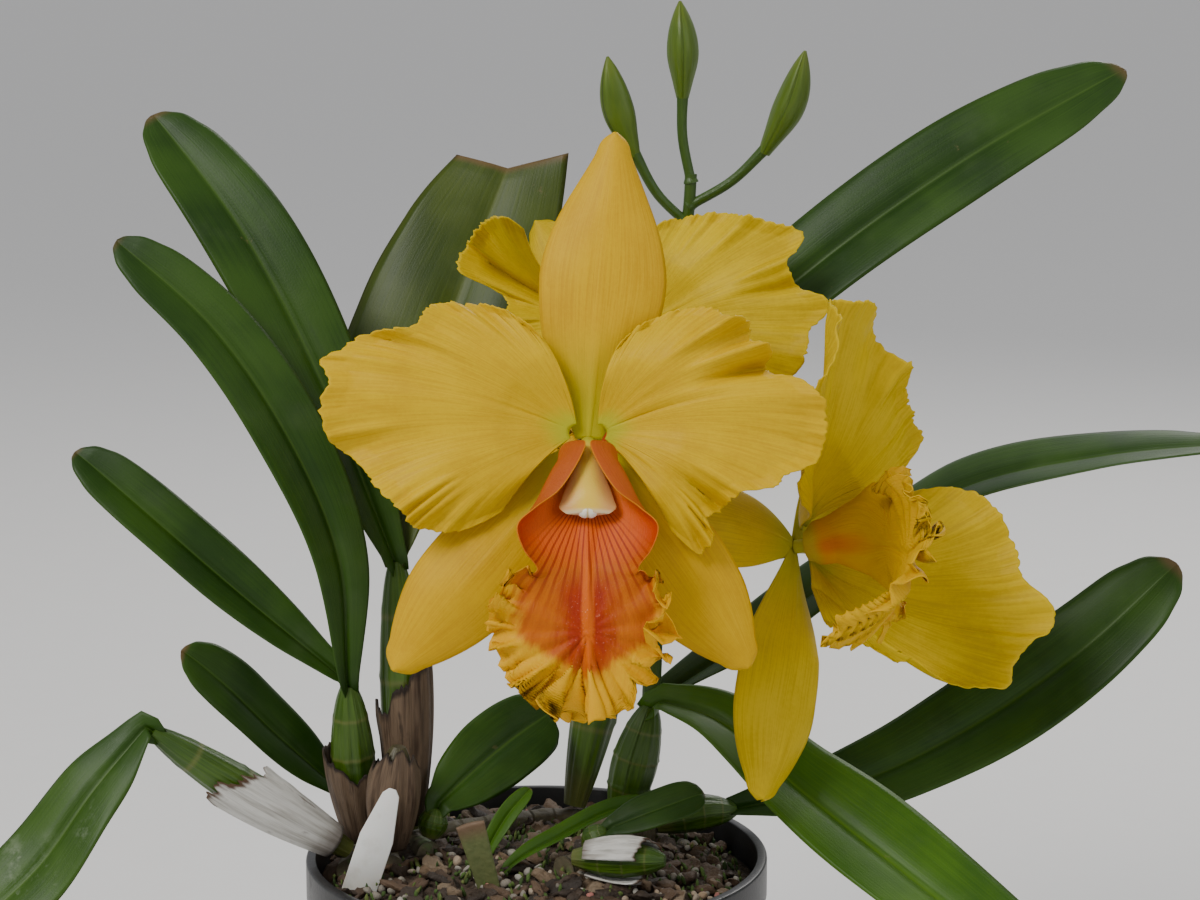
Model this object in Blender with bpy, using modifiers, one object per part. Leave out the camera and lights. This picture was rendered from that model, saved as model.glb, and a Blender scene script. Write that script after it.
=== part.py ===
"""Potted cattleya orchid: three open blooms, a spray of buds, strap leaves and pseudobulbs.

Metres, +Z up. The origin is the centre of the pot's underside, and the first bloom faces -Y.
Lists of places and sizes are in millimetres, times MM. A bloom's own frame has X to its
right, Y towards its dorsal sepal and Z the way it faces.
"""

import math
import random

import bmesh
import bpy
import numpy as np
from mathutils import Matrix, Vector

MM = 0.001

POT_HEIGHT = 145 * MM
POT_RIM_RADIUS = 75 * MM
POT_BASE_RADIUS = 55 * MM
POT_BAND_HEIGHT = 13 * MM
POT_BAND_STEP = 1.8 * MM
POT_WALL = 2.0 * MM
POT_FLOOR = 3.0 * MM
POT_FOOT_ROUND = 2.0 * MM
POT_SIDES = 32
DRAIN_HOLES = 6
DRAIN_RADIUS = 5 * MM
DRAIN_CIRCLE = 38 * MM

SOIL_GAP = 0.9 * MM
SOIL_EDGE_HEIGHT = 136 * MM
SOIL_CROWN = 10 * MM
SOIL_RELIEF = 1.3 * MM
SOIL_SEED = 7

RHIZOME_RADIUS = 4.5 * MM
RHIZOME_LIFT = 1.0 * MM
SEAT_GAP = 0.6 * MM
TRENCH_GAP = 0.7 * MM

TUBE_STEP = 10
LEAF_THICKNESS = 1.8 * MM
TEPAL_THICKNESS = 0.9 * MM
LIP_THICKNESS = 0.8 * MM
SHEATH_THICKNESS = 0.7 * MM
SHEATH_GAP = 1.5 * MM

# A bloom's parts meet round the foot of its column.
SEPAL_FOOT_RADIUS = 4.0 * MM
SEPAL_FOOT_LEVEL = -2.6 * MM
PETAL_FOOT = (3.0 * MM, 3.5 * MM, 0.7 * MM)
PETAL_CLAW_RADIUS = 2.6 * MM
OVARY_TOP_LEVEL = -3.3 * MM
OVARY_STRAIGHT = 12 * MM

PLANT = "cattleya_orchid"

LEAF_GREEN = (0.055, 0.150, 0.012, 1)
LEAF_OLIVE = (0.110, 0.170, 0.030, 1)
BULB_GREEN = (0.130, 0.230, 0.025, 1)
STEM_GREEN = (0.060, 0.170, 0.020, 1)
BUD_GREEN = (0.120, 0.250, 0.015, 1)
PETAL_YELLOW = (0.900, 0.560, 0.010, 1)
LIP_ORANGE = (0.780, 0.180, 0.015, 1)
COLUMN_CREAM = (0.880, 0.640, 0.250, 1)
SHEATH_WHITE = (0.620, 0.570, 0.500, 1)
SHEATH_BROWN = (0.180, 0.095, 0.045, 1)
BARK_BROWN = (0.230, 0.170, 0.110, 1)
RHIZOME_BROWN = (0.160, 0.130, 0.060, 1)
POT_BLACK = (0.015, 0.016, 0.018, 1)
TAG_WHITE = (0.820, 0.840, 0.860, 1)

# Each leaf: route of its midrib, full width, the way its upper face looks, fold of its halves.
LEAVES = {
    "leaf_left_long": {
        "route": [(-61.2, 0.8, 201.8), (-63, -2, 243), (-80, 2, 284), (-102, 8, 315), (-134, 15, 343)],
        "width": 26, "face": (0.30, -0.85, 0.40), "fold": 24,
    },
    "leaf_left_middle": {
        "route": [(-62.4, 5.4, 201.4), (-96, 9, 229), (-125, 12, 254), (-150, 18, 274)],
        "width": 23, "face": (0.30, -0.80, 0.50), "fold": 26,
    },
    "leaf_left_low": {
        "route": [(-65.8, 20.3, 159.4), (-86, 11, 182), (-100, 3, 199), (-114, -3, 213)],
        "width": 22, "face": (0.30, -0.70, 0.60), "fold": 20,
    },
    "leaf_left_hanging": {
        "route": [(-121.8, -27.8, 194.6), (-137, -36, 177), (-154, -45, 154), (-176, -55, 134)],
        "width": 29, "face": (-0.35, -0.80, 0.50), "fold": 12,
    },
    "leaf_back_left": {
        "route": [(-47, 15.6, 239.8), (-67, 20, 291), (-97, 36, 345), (-127, 52, 381)],
        "width": 33, "face": (0.20, -0.85, 0.50), "fold": 22,
    },
    "leaf_back_broad": {
        "route": [(-46, 20.6, 239.8), (-45, 33, 267), (-31, 56, 309), (-9, 78, 366)],
        "width": 64, "face": (-0.15, -0.95, 0.20), "fold": 10, "notched": True,
    },
    "leaf_right_high": {
        "route": [(34.8, 46.4, 238), (48, 53, 290), (91, 58, 329), (141, 64, 364), (197, 72, 395)],
        "width": 35, "face": (-0.20, -0.80, 0.55), "fold": 18,
    },
    "leaf_right_level": {
        "route": [
            (41.5, 16.5, 192.4), (68, 34, 206), (98, 42, 226), (139, 34, 258), (183, 18, 272), (222, 0, 279),
        ],
        "width": 34, "face": (0.00, -0.30, 1.00), "fold": 16,
    },
    "leaf_right_low": {
        "route": [(68.2, 26.4, 151.6), (105, 32, 158), (142, 38, 174), (181, 42, 200), (215, 45, 231)],
        "width": 35, "face": (-0.20, -0.80, 0.60), "fold": 18,
    },
    "leaf_right_arching": {
        "route": [(40.6, 7.8, 192.8), (56, -2, 191), (84, -20, 172), (122, -50, 148), (158, -75, 124)],
        "width": 39, "face": (0.25, -0.65, 0.70), "fold": 20,
    },
    "leaf_centre": {
        "route": [(-31.6, 0.4, 161.2), (-24, 7, 167), (-11, 17, 176), (4, 28, 184)],
        "width": 27, "face": (0.00, -0.90, 0.40), "fold": 14, "rows": 6, "columns": 2,
    },
    "leaf_front_small": {
        "route": [(24.6, -19.4, 159.4), (37, -18, 164), (54, -15, 169)],
        "width": 15, "face": (0.00, -0.60, 0.80), "fold": 15, "rows": 6, "columns": 2,
    },
    "leaf_new_shoot": {
        "route": [(-14, -23, 141), (-8, -21, 147), (8, -12, 154), (24, -5, 160), (38, -2, 163)],
        "width": 9, "face": (0.00, -0.50, 0.85), "fold": 40, "rows": 6, "columns": 2,
    },
    "leaf_new_tip": {
        "route": [(-19, -10, 141), (-15, -8, 150), (-9, -4, 159), (-2, 1, 166)],
        "width": 8, "face": (0.00, -0.80, 0.50), "fold": 35, "rows": 6, "columns": 2,
    },
}
LEAF_ROWS = 9
LEAF_FOOT_FOLD = 50
LEAF_EDGE_CURL = 0.10
LEAF_WIDTH_ALONG = [(0, 0.28), (0.12, 0.50), (0.35, 0.86), (0.62, 1.0), (0.84, 0.90), (0.95, 0.62),
                    (1, 0.26)]
NOTCHED_WIDTH_ALONG = [(0, 0.15), (0.12, 0.36), (0.35, 0.88), (0.55, 1.0), (0.8, 0.82), (1, 0.58)]
NOTCH_DEPTH = 5 * MM
NOTCH_SLANT = 6 * MM

# Each pseudobulb: the route of its axis and its widest radius, in mm.
BULB_RADII = [(0, 0.50), (0.15, 0.72), (0.45, 1.0), (0.75, 0.85), (1, 0.42)]
BULBS = {
    "pseudobulb_left_front": {"route": [(-58, 8, 146), (-60, 6, 174), (-61, 3, 200)], "radius": 7.0},
    "pseudobulb_left_back": {"route": [(-43, 13, 148.8), (-44, 15, 195), (-46, 18, 238)], "radius": 7.5},
    "pseudobulb_left_leaning": {
        "route": [(-61, -6, 147.5), (-92, -18, 171), (-120, -27, 193)], "radius": 6.5,
    },
    "pseudobulb_old_brown": {"route": [(-47, -9, 148.4), (-46, -9, 166), (-44, -9, 183)], "radius": 6.5},
    "pseudobulb_flowering": {"route": [(27, 12, 151), (32, 11, 172), (37, 11, 191)], "radius": 7.5},
    "pseudobulb_budding": {"route": [(12, 33, 150.4), (22, 41, 195), (32, 48, 236)], "radius": 8.0},
    "pseudobulb_right_low": {"route": [(39, 19, 148), (53, 23, 151), (66, 26, 151)], "radius": 6.0},
    "pseudobulb_left_low": {"route": [(-60, 22, 145), (-62, 21.5, 151.5), (-65, 20.6, 158)], "radius": 4.4},
    "pseudobulb_centre": {"route": [(-35, -2, 150.2), (-34, -1, 154), (-32.6, -0.2, 159.6)], "radius": 4.8},
    "pseudobulb_front_small": {"route": [(16, -17, 152), (19, -18, 155), (23.2, -19, 157.8)], "radius": 4.4},
    "pseudobulb_front_lying": {"route": [(12, -28, 152), (26, -31, 152.5), (41, -34, 153)], "radius": 5.5},
}
BULB_SIDES = 9
BULB_RINGS = 7

# Each sheath: the pseudobulb it wraps, the stretch of it covered, how far the sheath flares at
# its top in mm, and how far it is turned about the pseudobulb in degrees.
SHEATHS = {
    "sheath_left_front": {
        "bulb": "pseudobulb_left_front", "span": (0.02, 0.55), "flare": 2.0, "turn": -95, "white": False,
    },
    "sheath_left_back": {
        "bulb": "pseudobulb_left_back", "span": (0.02, 0.60), "flare": 1.4, "turn": 85, "white": False,
    },
    "sheath_left_leaning": {
        "bulb": "pseudobulb_left_leaning", "span": (0.08, 0.62), "flare": 1.6, "turn": -30, "white": True,
    },
    "sheath_old_brown": {
        "bulb": "pseudobulb_old_brown", "span": (0.03, 0.90), "flare": 1.2, "turn": 10, "white": False,
    },
    "sheath_front_lying": {
        "bulb": "pseudobulb_front_lying", "span": (0.14, 0.86), "flare": 1.0, "turn": 200, "white": True,
    },
}
SHEATH_WRAP = 145
SHEATH_ROWS = 4
SHEATH_COLUMNS = 9

RHIZOME_ROUTE = [(-61, -5), (-58, 8), (-43, 13), (-16, 24), (12, 33), (27, 13), (22, -8), (9, -22)]
RHIZOME_BRANCHES = [
    [(-45, 12), (-49, 2), (-47, -9)], [(26, 16), (38, 19)], [(-56, 9), (-60, 22)], [(-41, 12), (-35, -2)],
]
# New growth comes out of plain holes in the potting mix.
SHOOT_HOLES = [(-11, -22), (-17, -9)]
SHOOT_HOLE_RADIUS = 5.5 * MM
SHOOT_HOLE_DEPTH = 9 * MM

PEDUNCLE_ROUTE = [(37.3, 11.2, 192.3), (38, 18, 213), (36, 28, 240), (32, 33, 268), (29, 40, 286)]
PEDUNCLE_RADIUS = 3.0 * MM
PEDICEL_RADIUS = 2.4 * MM
OVARY_RADIUS = 3.2 * MM

SPRAY_ROUTE = [(30.5, 50, 237.6), (37, 66, 289), (45, 65, 325), (50, 60, 347), (51, 60, 361)]
SPRAY_RADIUS = 2.0 * MM
# Each bud: its short stalk's route, then the bud's foot, middle and tip.
BUDS = {
    "left": {
        "stalk": [(49, 60, 345), (40, 59, 354), (32, 57, 368)],
        "bud": [(32, 57, 367), (26, 56, 384), (23, 54, 400)],
    },
    "top": {
        "stalk": [(51, 60, 358), (48, 60, 374), (48, 60, 388)],
        "bud": [(48, 60, 386), (48, 60, 402), (47, 60, 418)],
    },
    "right": {
        "stalk": [(50, 60, 350), (65, 59, 359), (76, 57, 370)],
        "bud": [(75, 57, 368), (84, 55, 386), (88, 52, 402)],
    },
}
BUD_RADII = [(0, 2.1), (0.15, 3.0), (0.5, 5.2), (0.8, 3.8), (1, 0.9)]

TAG_FOOT = (-60, -23, 128)
TAG_TOP = (-45, -23, 173)
TAG_WIDTH = 11 * MM
TAG_THICKNESS = 0.8 * MM
TAG_NARROWING = 17 * MM
STUB_FOOT = (-13, -31, 138)
STUB_TOP = (-20, -37, 166)
STUB_WIDTH = 9 * MM
STUB_THICKNESS = 2.4 * MM

# Petal outlines: the angle of a ray from the claw in degrees, and how far the petal reaches, in mm.
PETAL_FRONT_RIGHT = [(-53, 36), (-51, 45), (-47, 46.5), (-41.5, 46), (-38, 41), (-32, 43), (-26, 44),
                     (-21, 47), (-17, 54), (-12.5, 57), (-9.5, 62), (-6, 66), (-2, 67), (4, 67.5),
                     (8, 67.5), (12, 65), (16, 60), (19, 54), (22, 53.5), (25.5, 57), (28, 56.5),
                     (31, 53), (35.5, 55), (38.5, 54.5), (41, 52), (47, 50), (53, 46.5), (57, 43.5),
                     (63, 38.5), (70, 33), (77, 26)]
PETAL_FRONT_LEFT = [(111, 30), (117, 38), (122, 43.5), (127, 48), (132, 51), (135, 54.5), (140, 57.5),
                    (144, 57.5), (148.5, 59), (151, 63), (156, 70), (160.5, 74), (164.5, 78.5),
                    (167.5, 75), (171, 76), (175, 76), (179, 75), (183, 72), (186, 67.5), (190.5, 63.5),
                    (193, 62.5), (198, 60), (205, 56.5), (209.5, 56), (213, 52.5), (217, 48.5),
                    (221, 43), (226, 32)]
PETAL_SIDE_RIGHT = [(-60, 26), (-45, 32), (-37, 40), (-33, 46), (-29.5, 49), (-27.5, 58), (-22, 69),
                    (-18, 75.5), (-11, 74), (-4.5, 76), (0, 80), (5, 78), (8, 72.5), (11, 69), (20, 66),
                    (29, 62), (38.5, 56), (44, 50), (48, 43), (60, 36)]
PETAL_SIDE_LEFT = [(120, 36), (124, 47), (131, 51), (139, 52), (146, 53), (152, 57),
                   (156, 61.5), (160, 63), (164, 66.5), (167.5, 72), (171, 77), (180, 80), (190, 81),
                   (198, 79), (206, 73), (214, 63), (222, 51), (232, 36)]
PETAL_BACK_RIGHT = [(-58, 34), (-46, 52), (-36, 61), (-27, 63), (-21, 63), (-17, 68), (-11.5, 68),
                    (-8.5, 61.5), (-3, 58.5), (1, 59), (5, 64), (8.5, 67.5), (13.5, 64), (17, 60),
                    (21, 57), (24, 54.5), (28, 53), (34, 49.5), (40, 46), (47, 42), (53.5, 39), (60, 32)]
PETAL_BACK_LEFT = [(141, 58), (143, 64), (148, 65), (154, 64), (163, 62), (171, 60.5), (180, 60),
                   (186, 60), (189.5, 57), (192, 47), (196, 41), (204, 40), (215, 38), (228, 32)]

# Petals: which outline, and how far it is turned in its plane, swept forward, twisted on its
# midrib and folded along it, in degrees. The wave shifts its ruffles along its edge. Its rays
# droop by so many degrees on their way out, and pinch is the share of its fan lost at the claw.
PETALS_FACING = {
    "petal_left": {
        "outline": PETAL_FRONT_LEFT, "turn": 0, "sweep": 4, "twist": 0, "fold": 0, "wave": 0.4,
        "droop": 13, "pinch": 0,
    },
    "petal_right": {
        "outline": PETAL_FRONT_RIGHT, "turn": 0, "sweep": 4, "twist": 0, "fold": 0, "wave": 2.1,
        "droop": 13, "pinch": 0,
    },
}
PETALS_SIDE = {
    "petal_left": {
        "outline": PETAL_SIDE_LEFT, "turn": 0, "sweep": 22, "twist": -14, "fold": 22, "wave": 1.3,
        "droop": 0, "pinch": 0,
    },
    "petal_right": {
        "outline": PETAL_SIDE_RIGHT, "turn": 18, "sweep": 58, "twist": 33, "fold": 0, "wave": 0.2,
        "droop": 0, "pinch": 0,
    },
}
PETALS_BACK = {
    "petal_left": {
        "outline": PETAL_BACK_LEFT, "turn": -30, "sweep": 14, "twist": -20, "fold": 52, "wave": 0.9,
        "droop": 0, "pinch": 0.6,
    },
    "petal_right": {
        "outline": PETAL_BACK_RIGHT, "turn": 16, "sweep": 6, "twist": 0, "fold": 0, "wave": 2.6,
        "droop": 0, "pinch": 0,
    },
}
PETAL_DOME = 5.0 * MM
PETAL_LIFT = 2.2 * MM
PETAL_FRILL = 2.8 * MM

# Sepals: the way they point in degrees, length and full width in mm, how far they sweep forward
# in degrees, and the rise of their keel in mm.
SEPALS_FACING = {
    "dorsal_sepal": {"toward": 85, "length": 94, "width": 38, "sweep": -2, "bow": 3},
    "lateral_sepal_left": {"toward": 229, "length": 89, "width": 32, "sweep": -1, "bow": 3},
    "lateral_sepal_right": {"toward": -54, "length": 82, "width": 31, "sweep": -1, "bow": 2},
}
SEPALS_SIDE = {
    "dorsal_sepal": {"toward": 98, "length": 74, "width": 32, "sweep": 4, "bow": 3},
    "lateral_sepal_left": {"toward": 232, "length": 62, "width": 28, "sweep": -34, "bow": 2},
    "lateral_sepal_right": {
        "toward": -42, "length": 84, "width": 31, "sweep": -4, "bow": 3, "twist": 30,
    },
}
SEPALS_BACK = {
    "dorsal_sepal": {"toward": 124, "length": 56, "width": 27, "sweep": -3, "bow": 3},
    "lateral_sepal_left": {"toward": 229, "length": 70, "width": 29, "sweep": -22, "bow": 2},
    "lateral_sepal_right": {"toward": -49, "length": 70, "width": 29, "sweep": -22, "bow": 2},
}
SEPAL_WIDTH_ALONG = [(0, 0.14), (0.1, 0.32), (0.3, 0.78), (0.55, 1.0), (0.75, 0.86), (0.92, 0.42),
                     (1, 0.10)]
SEPAL_EDGE_DROP = 2.5 * MM

# The lip at stations from its foot to its tip: keel (y, z), edge (x, y, z), and the handles
# that bow each cross-section out from the keel and in to the edge, all in mm.
LIP_STATIONS = [
    (0.00, (-4.8, 1.4), (4.2, -2.4, 2.2), (3.8, -0.3, 0.0), (2.6, 0.0, 0.0)),
    (0.06, (-5.8, 2.6), (4.6, -1.4, 3.6), (4.8, -0.3, 0.0), (3.6, 0.0, 0.0)),
    (0.12, (-7.0, 4.2), (3.6, 0.4, 5.4), (8.0, -0.5, 0.0), (7.0, 0.5, 0.0)),
    (0.28, (-13.5, 8.5), (1.0, -1.2, 13.0), (12.5, -0.5, 0.0), (11.0, 0.0, 0.0)),
    (0.34, (-16.5, 10.2), (3.6, -6.4, 17.0), (14.0, -1.0, 0.0), (11.0, 2.0, -2.0)),
    (0.40, (-20.0, 12.0), (8.4, -13.2, 20.5), (15.0, -1.0, 0.0), (9.0, 2.0, -3.0)),
    (0.46, (-24.0, 13.8), (15.0, -18.0, 22.0), (14.0, -1.0, 1.0), (4.0, -1.0, -5.0)),
    (0.52, (-28.5, 15.5), (20.3, -23.4, 23.5), (11.0, -1.0, 1.0), (-1.0, -2.0, -6.0)),
    (0.57, (-32.5, 16.8), (18.4, -30.0, 24.5), (8.0, -0.5, 0.5), (-1.5, -1.0, -5.0)),
    (0.62, (-36.5, 18.0), (14.5, -36.0, 24.0), (6.5, 0.0, 0.5), (-2.0, -0.5, -3.0)),
    (0.68, (-42.0, 19.2), (23.0, -38.5, 23.0), (8.0, 0.0, 0.5), (-7.0, 0.5, -1.0)),
    (0.76, (-50.0, 20.2), (28.0, -47.0, 21.0), (10.0, 0.0, 0.5), (-9.0, 0.5, 0.5)),
    (0.86, (-62.0, 19.8), (27.0, -60.0, 18.0), (10.0, 0.0, 0.0), (-8.0, 0.5, 0.5)),
    (0.94, (-72.0, 17.6), (21.0, -70.5, 16.0), (8.0, 0.0, 0.0), (-6.0, 0.5, 0.5)),
    (1.00, (-80.0, 15.0), (12.0, -78.0, 14.5), (4.0, 0.0, 0.0), (-4.0, 0.5, 0.0)),
]
LIP_FRILL = 2.4 * MM
LIP_FRILL_WAVES = 13
LIP_FRILL_START = 0.60
LIP_FRILL_CENTRE = -54 * MM
# Where the apron of a spread lip starts to lean less than its throat, and over how much it does.
LIP_SPREAD_START = 0.42
LIP_SPREAD_RISE = 0.50

# The column: route of its axis with half widths and half depths, in mm.
COLUMN_ROUTE = [(0, 0, -2.4), (0, -1.2, 3), (0, -6, 9), (0, -13, 14), (0, -20, 18)]
COLUMN_HALF_WIDTH = [(0, 2.6), (0.3, 3.2), (0.6, 5.4), (0.85, 7.7), (0.95, 8.1), (1, 6.2)]
COLUMN_HALF_DEPTH = [(0, 2.6), (0.3, 2.7), (0.6, 3.0), (0.85, 3.2), (1, 1.8)]

BLOOMS = {
    "front_bloom": {
        "place": (17, -60, 290), "right": (1, 0, 0), "up": (0, 0.1736, 0.9848),
        "sepals": SEPALS_FACING, "petals": PETALS_FACING, "lean": 0, "fine": 1.0, "size": 1.0,
        "lip_size": 1.0, "lip_spread": 0,
        "ovary": [(37, 22, 222), (34, 2, 226), (27, -22, 246), (20, -38, 274)],
    },
    "side_bloom": {
        "place": (84.5, -6, 248), "right": (0.242, 0.052, -0.964), "up": (0.38, 0.909, 0.144),
        "sepals": SEPALS_SIDE, "petals": PETALS_SIDE, "lean": 48, "fine": 0.75, "size": 1.0,
        "lip_size": 0.84, "lip_spread": 38,
        "ovary": [(36, 28, 240), (46, 22, 250), (60, 14, 249)],
    },
    "back_bloom": {
        "place": (29, 40, 308), "right": (0.99, -0.10, 0.05), "up": (-0.04, 0.34, 0.94),
        "sepals": SEPALS_BACK, "petals": PETALS_BACK, "lean": 0, "fine": 0.65, "size": 0.94,
        "lip_size": 0.94, "lip_spread": 0,
        "ovary": [(30, 37, 281), (29, 45, 291)],
    },
}


def through(stations, place):
    """The value at place on a smooth curve through (position, value) stations."""
    spots = np.array([s[0] for s in stations], float)
    values = np.array([np.atleast_1d(s[1]) for s in stations], float)
    slopes = np.gradient(values, spots, axis=0)
    i = int(np.clip(np.searchsorted(spots, place) - 1, 0, len(spots) - 2))
    step = spots[i + 1] - spots[i]
    t = min(max((place - spots[i]) / step, 0.0), 1.0)
    a = values[i] * (2 * t**3 - 3 * t**2 + 1) + values[i + 1] * (3 * t**2 - 2 * t**3)
    b = slopes[i] * (t**3 - 2 * t**2 + t) + slopes[i + 1] * (t**3 - t**2)
    found = a + b * step
    return float(found[0]) if len(found) == 1 else Vector(found)


def along(route, place):
    """A point, in metres, at a share of the length of a route given in millimetres."""
    points = [Vector(p) for p in route]
    lengths = np.cumsum([0] + [(b - a).length for a, b in zip(points, points[1:])])
    return through(list(zip(lengths / lengths[-1], route)), place) * MM


def heading(route, place):
    """The unit direction of a route at a share of its length."""
    step = 0.01
    return (along(route, min(place + step, 1)) - along(route, max(place - step, 0))).normalized()


def finish(name, mesh, colour, roughness=0.5):
    """An object of the plant, with its own material, shaded smooth."""
    obj = bpy.data.objects.new(name, mesh)
    bpy.data.collections[PLANT].objects.link(obj)
    material = bpy.data.materials.new(name)
    material.use_nodes = True
    shader = material.node_tree.nodes["Principled BSDF"]
    shader.inputs["Base Color"].default_value = colour
    shader.inputs["Roughness"].default_value = roughness
    mesh.materials.clear()
    mesh.materials.append(material)
    if isinstance(mesh, bpy.types.Mesh):
        mesh.shade_smooth()
    return obj


def blade(name, colour, rows, columns, thickness, shape):
    """A leaf, tepal or sheath: a flat grid moved by shape(u, v), then given its thickness.

    The grid is split into triangles first, so both faces of the blade are split alike.
    """
    mesh = bpy.data.meshes.new(name)
    bm = bmesh.new()
    bmesh.ops.create_grid(bm, x_segments=columns, y_segments=rows, size=1)
    for vertex in bm.verts:
        vertex.co = shape((vertex.co.y + 1) / 2, vertex.co.x)
    bmesh.ops.triangulate(bm, faces=bm.faces, quad_method="SHORT_EDGE")
    bm.to_mesh(mesh)
    bm.free()
    obj = finish(name, mesh, colour, 0.45)
    solid = obj.modifiers.new("Thickness", "SOLIDIFY")
    solid.thickness = thickness
    solid.offset = 0
    return obj


def swollen(name, colour, place, radii, sides, rings, side=Vector((1, 0, 0)), depths=None):
    """A bulb, bud or column: a sphere drawn out along place(w), with flat ends.

    radii(w) is its half width, and depths(w) its half depth where that differs.
    """
    mesh = bpy.data.meshes.new(name)
    bm = bmesh.new()
    bmesh.ops.create_uvsphere(bm, u_segments=sides, v_segments=rings, radius=1)
    for vertex in bm.verts:
        ring = math.acos(max(-1, min(1, -vertex.co.z))) / math.pi * rings
        w = min(max((ring - 1) / (rings - 2), 0), 1)
        flat = Vector((vertex.co.x, vertex.co.y))
        flat = flat.normalized() if flat.length > 1e-6 else flat
        step = (place(min(w + 0.02, 1)) - place(max(w - 0.02, 0))).normalized()
        across = (side - step * side.dot(step)).normalized()
        deep = step.cross(across)
        depth = (depths or radii)(w)
        vertex.co = place(w) + across * flat.x * radii(w) + deep * flat.y * depth
    bm.to_mesh(mesh)
    bm.free()
    return finish(name, mesh, colour, 0.4)


def tube(name, colour, points, radius, scales=None, round_steps=2, overrun=0):
    """A stem as a mesh: a smooth curve through points, bevelled, capped and welded.

    A cutter's ends overrun, so that it clears the ends of what lies in it.
    """
    curve = bpy.data.curves.new(name, "CURVE")
    curve.dimensions = "3D"
    curve.bevel_depth = radius
    curve.bevel_resolution = round_steps
    curve.use_fill_caps = True
    spline = curve.splines.new("POLY")
    reach = sum((Vector(b) - Vector(a)).length for a, b in zip(points, points[1:]))
    count = max(4, round(reach / TUBE_STEP) + 1)
    spline.points.add(count - 1)
    for i, point in enumerate(spline.points):
        share = i / (count - 1)
        past = {0: -overrun, count - 1: overrun}.get(i, 0)
        point.co = (*(along(points, share) + heading(points, share) * past), 1)
        point.radius = through(scales, share) if scales else 1
    obj = finish(name, curve, colour, 0.35)
    graph = bpy.context.evaluated_depsgraph_get()
    mesh = bpy.data.meshes.new_from_object(obj.evaluated_get(graph))
    bpy.data.objects.remove(obj)
    bm = bmesh.new()
    bm.from_mesh(mesh)
    bmesh.ops.remove_doubles(bm, verts=bm.verts, dist=0.01 * MM)
    bmesh.ops.recalc_face_normals(bm, faces=bm.faces)
    bm.to_mesh(mesh)
    bm.free()
    return finish(name, mesh, colour, 0.35)


def fuse(obj, others):
    """Joins others into obj with one Boolean union, applied, and removes them."""
    helpers = bpy.data.collections.new(obj.name + "_pieces")
    bpy.context.scene.collection.children.link(helpers)
    for other in others:
        bpy.data.collections[PLANT].objects.unlink(other)
        helpers.objects.link(other)
    join = obj.modifiers.new("Join", "BOOLEAN")
    join.operation = "UNION"
    join.operand_type = "COLLECTION"
    join.collection = helpers
    join.solver = "EXACT"
    graph = bpy.context.evaluated_depsgraph_get()
    mesh = bpy.data.meshes.new_from_object(obj.evaluated_get(graph))
    obj.modifiers.clear()
    obj.data = mesh
    for other in others:
        bpy.data.objects.remove(other)
    bpy.data.collections.remove(helpers)
    return obj


def adopt(obj):
    """Moves an object that an operator made into the plant's collection."""
    for home in obj.users_collection:
        home.objects.unlink(obj)
    bpy.data.collections[PLANT].objects.link(obj)


def cut(obj, cutter):
    """Takes cutter out of obj, and keeps cutter as a hidden helper."""
    bpy.data.collections[PLANT].objects.unlink(cutter)
    bpy.data.collections["cutters"].objects.link(cutter)
    cutter.hide_render = True
    cutter.display_type = "WIRE"
    hole = obj.modifiers.new(cutter.name, "BOOLEAN")
    hole.operation = "DIFFERENCE"
    hole.object = cutter
    hole.solver = "EXACT"


def pot_radius(height):
    """The pot's outer radius under its rim band."""
    share = height / (POT_HEIGHT - POT_BAND_HEIGHT)
    return POT_BASE_RADIUS + (POT_RIM_RADIUS - POT_BAND_STEP - POT_BASE_RADIUS) * share


def pot():
    """A round, tapered nursery pot with a rim band and drain holes."""
    band = POT_HEIGHT - POT_BAND_HEIGHT
    inner_top = POT_RIM_RADIUS - POT_BAND_STEP - POT_WALL + 0.6 * MM
    profile = [
        (0, POT_FLOOR), (pot_radius(POT_FLOOR) - POT_WALL, POT_FLOOR),
        (pot_radius(band) - POT_WALL, band), (inner_top, POT_HEIGHT),
        (POT_RIM_RADIUS, POT_HEIGHT), (POT_RIM_RADIUS, band),
        (pot_radius(band), band), (pot_radius(POT_FOOT_ROUND), POT_FOOT_ROUND),
        (POT_BASE_RADIUS - POT_FOOT_ROUND, 0), (0, 0),
    ]
    mesh = bpy.data.meshes.new("pot")
    edges = [(i, i + 1) for i in range(len(profile) - 1)]
    mesh.from_pydata([(r, 0, z) for r, z in profile], edges, [])
    obj = finish("pot", mesh, POT_BLACK, 0.4)
    turn = obj.modifiers.new("Turn", "SCREW")
    turn.steps = POT_SIDES
    turn.render_steps = POT_SIDES
    turn.use_merge_vertices = True
    turn.merge_threshold = 0.01 * MM
    for i in range(DRAIN_HOLES):
        angle = math.tau * (i + 0.43) / DRAIN_HOLES
        bpy.ops.mesh.primitive_cylinder_add(
            vertices=10, radius=DRAIN_RADIUS, depth=4 * POT_FLOOR,
            location=(DRAIN_CIRCLE * math.cos(angle), DRAIN_CIRCLE * math.sin(angle), 0),
        )
        hole = bpy.context.object
        hole.name = f"drain_cutter_{i + 1}"
        adopt(hole)
        cut(obj, hole)


def soil_height(radius):
    """The height of the potting mix's domed top, before its relief."""
    return SOIL_EDGE_HEIGHT + SOIL_CROWN * (1 - (radius / (POT_RIM_RADIUS - 4 * MM)) ** 2)


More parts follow.
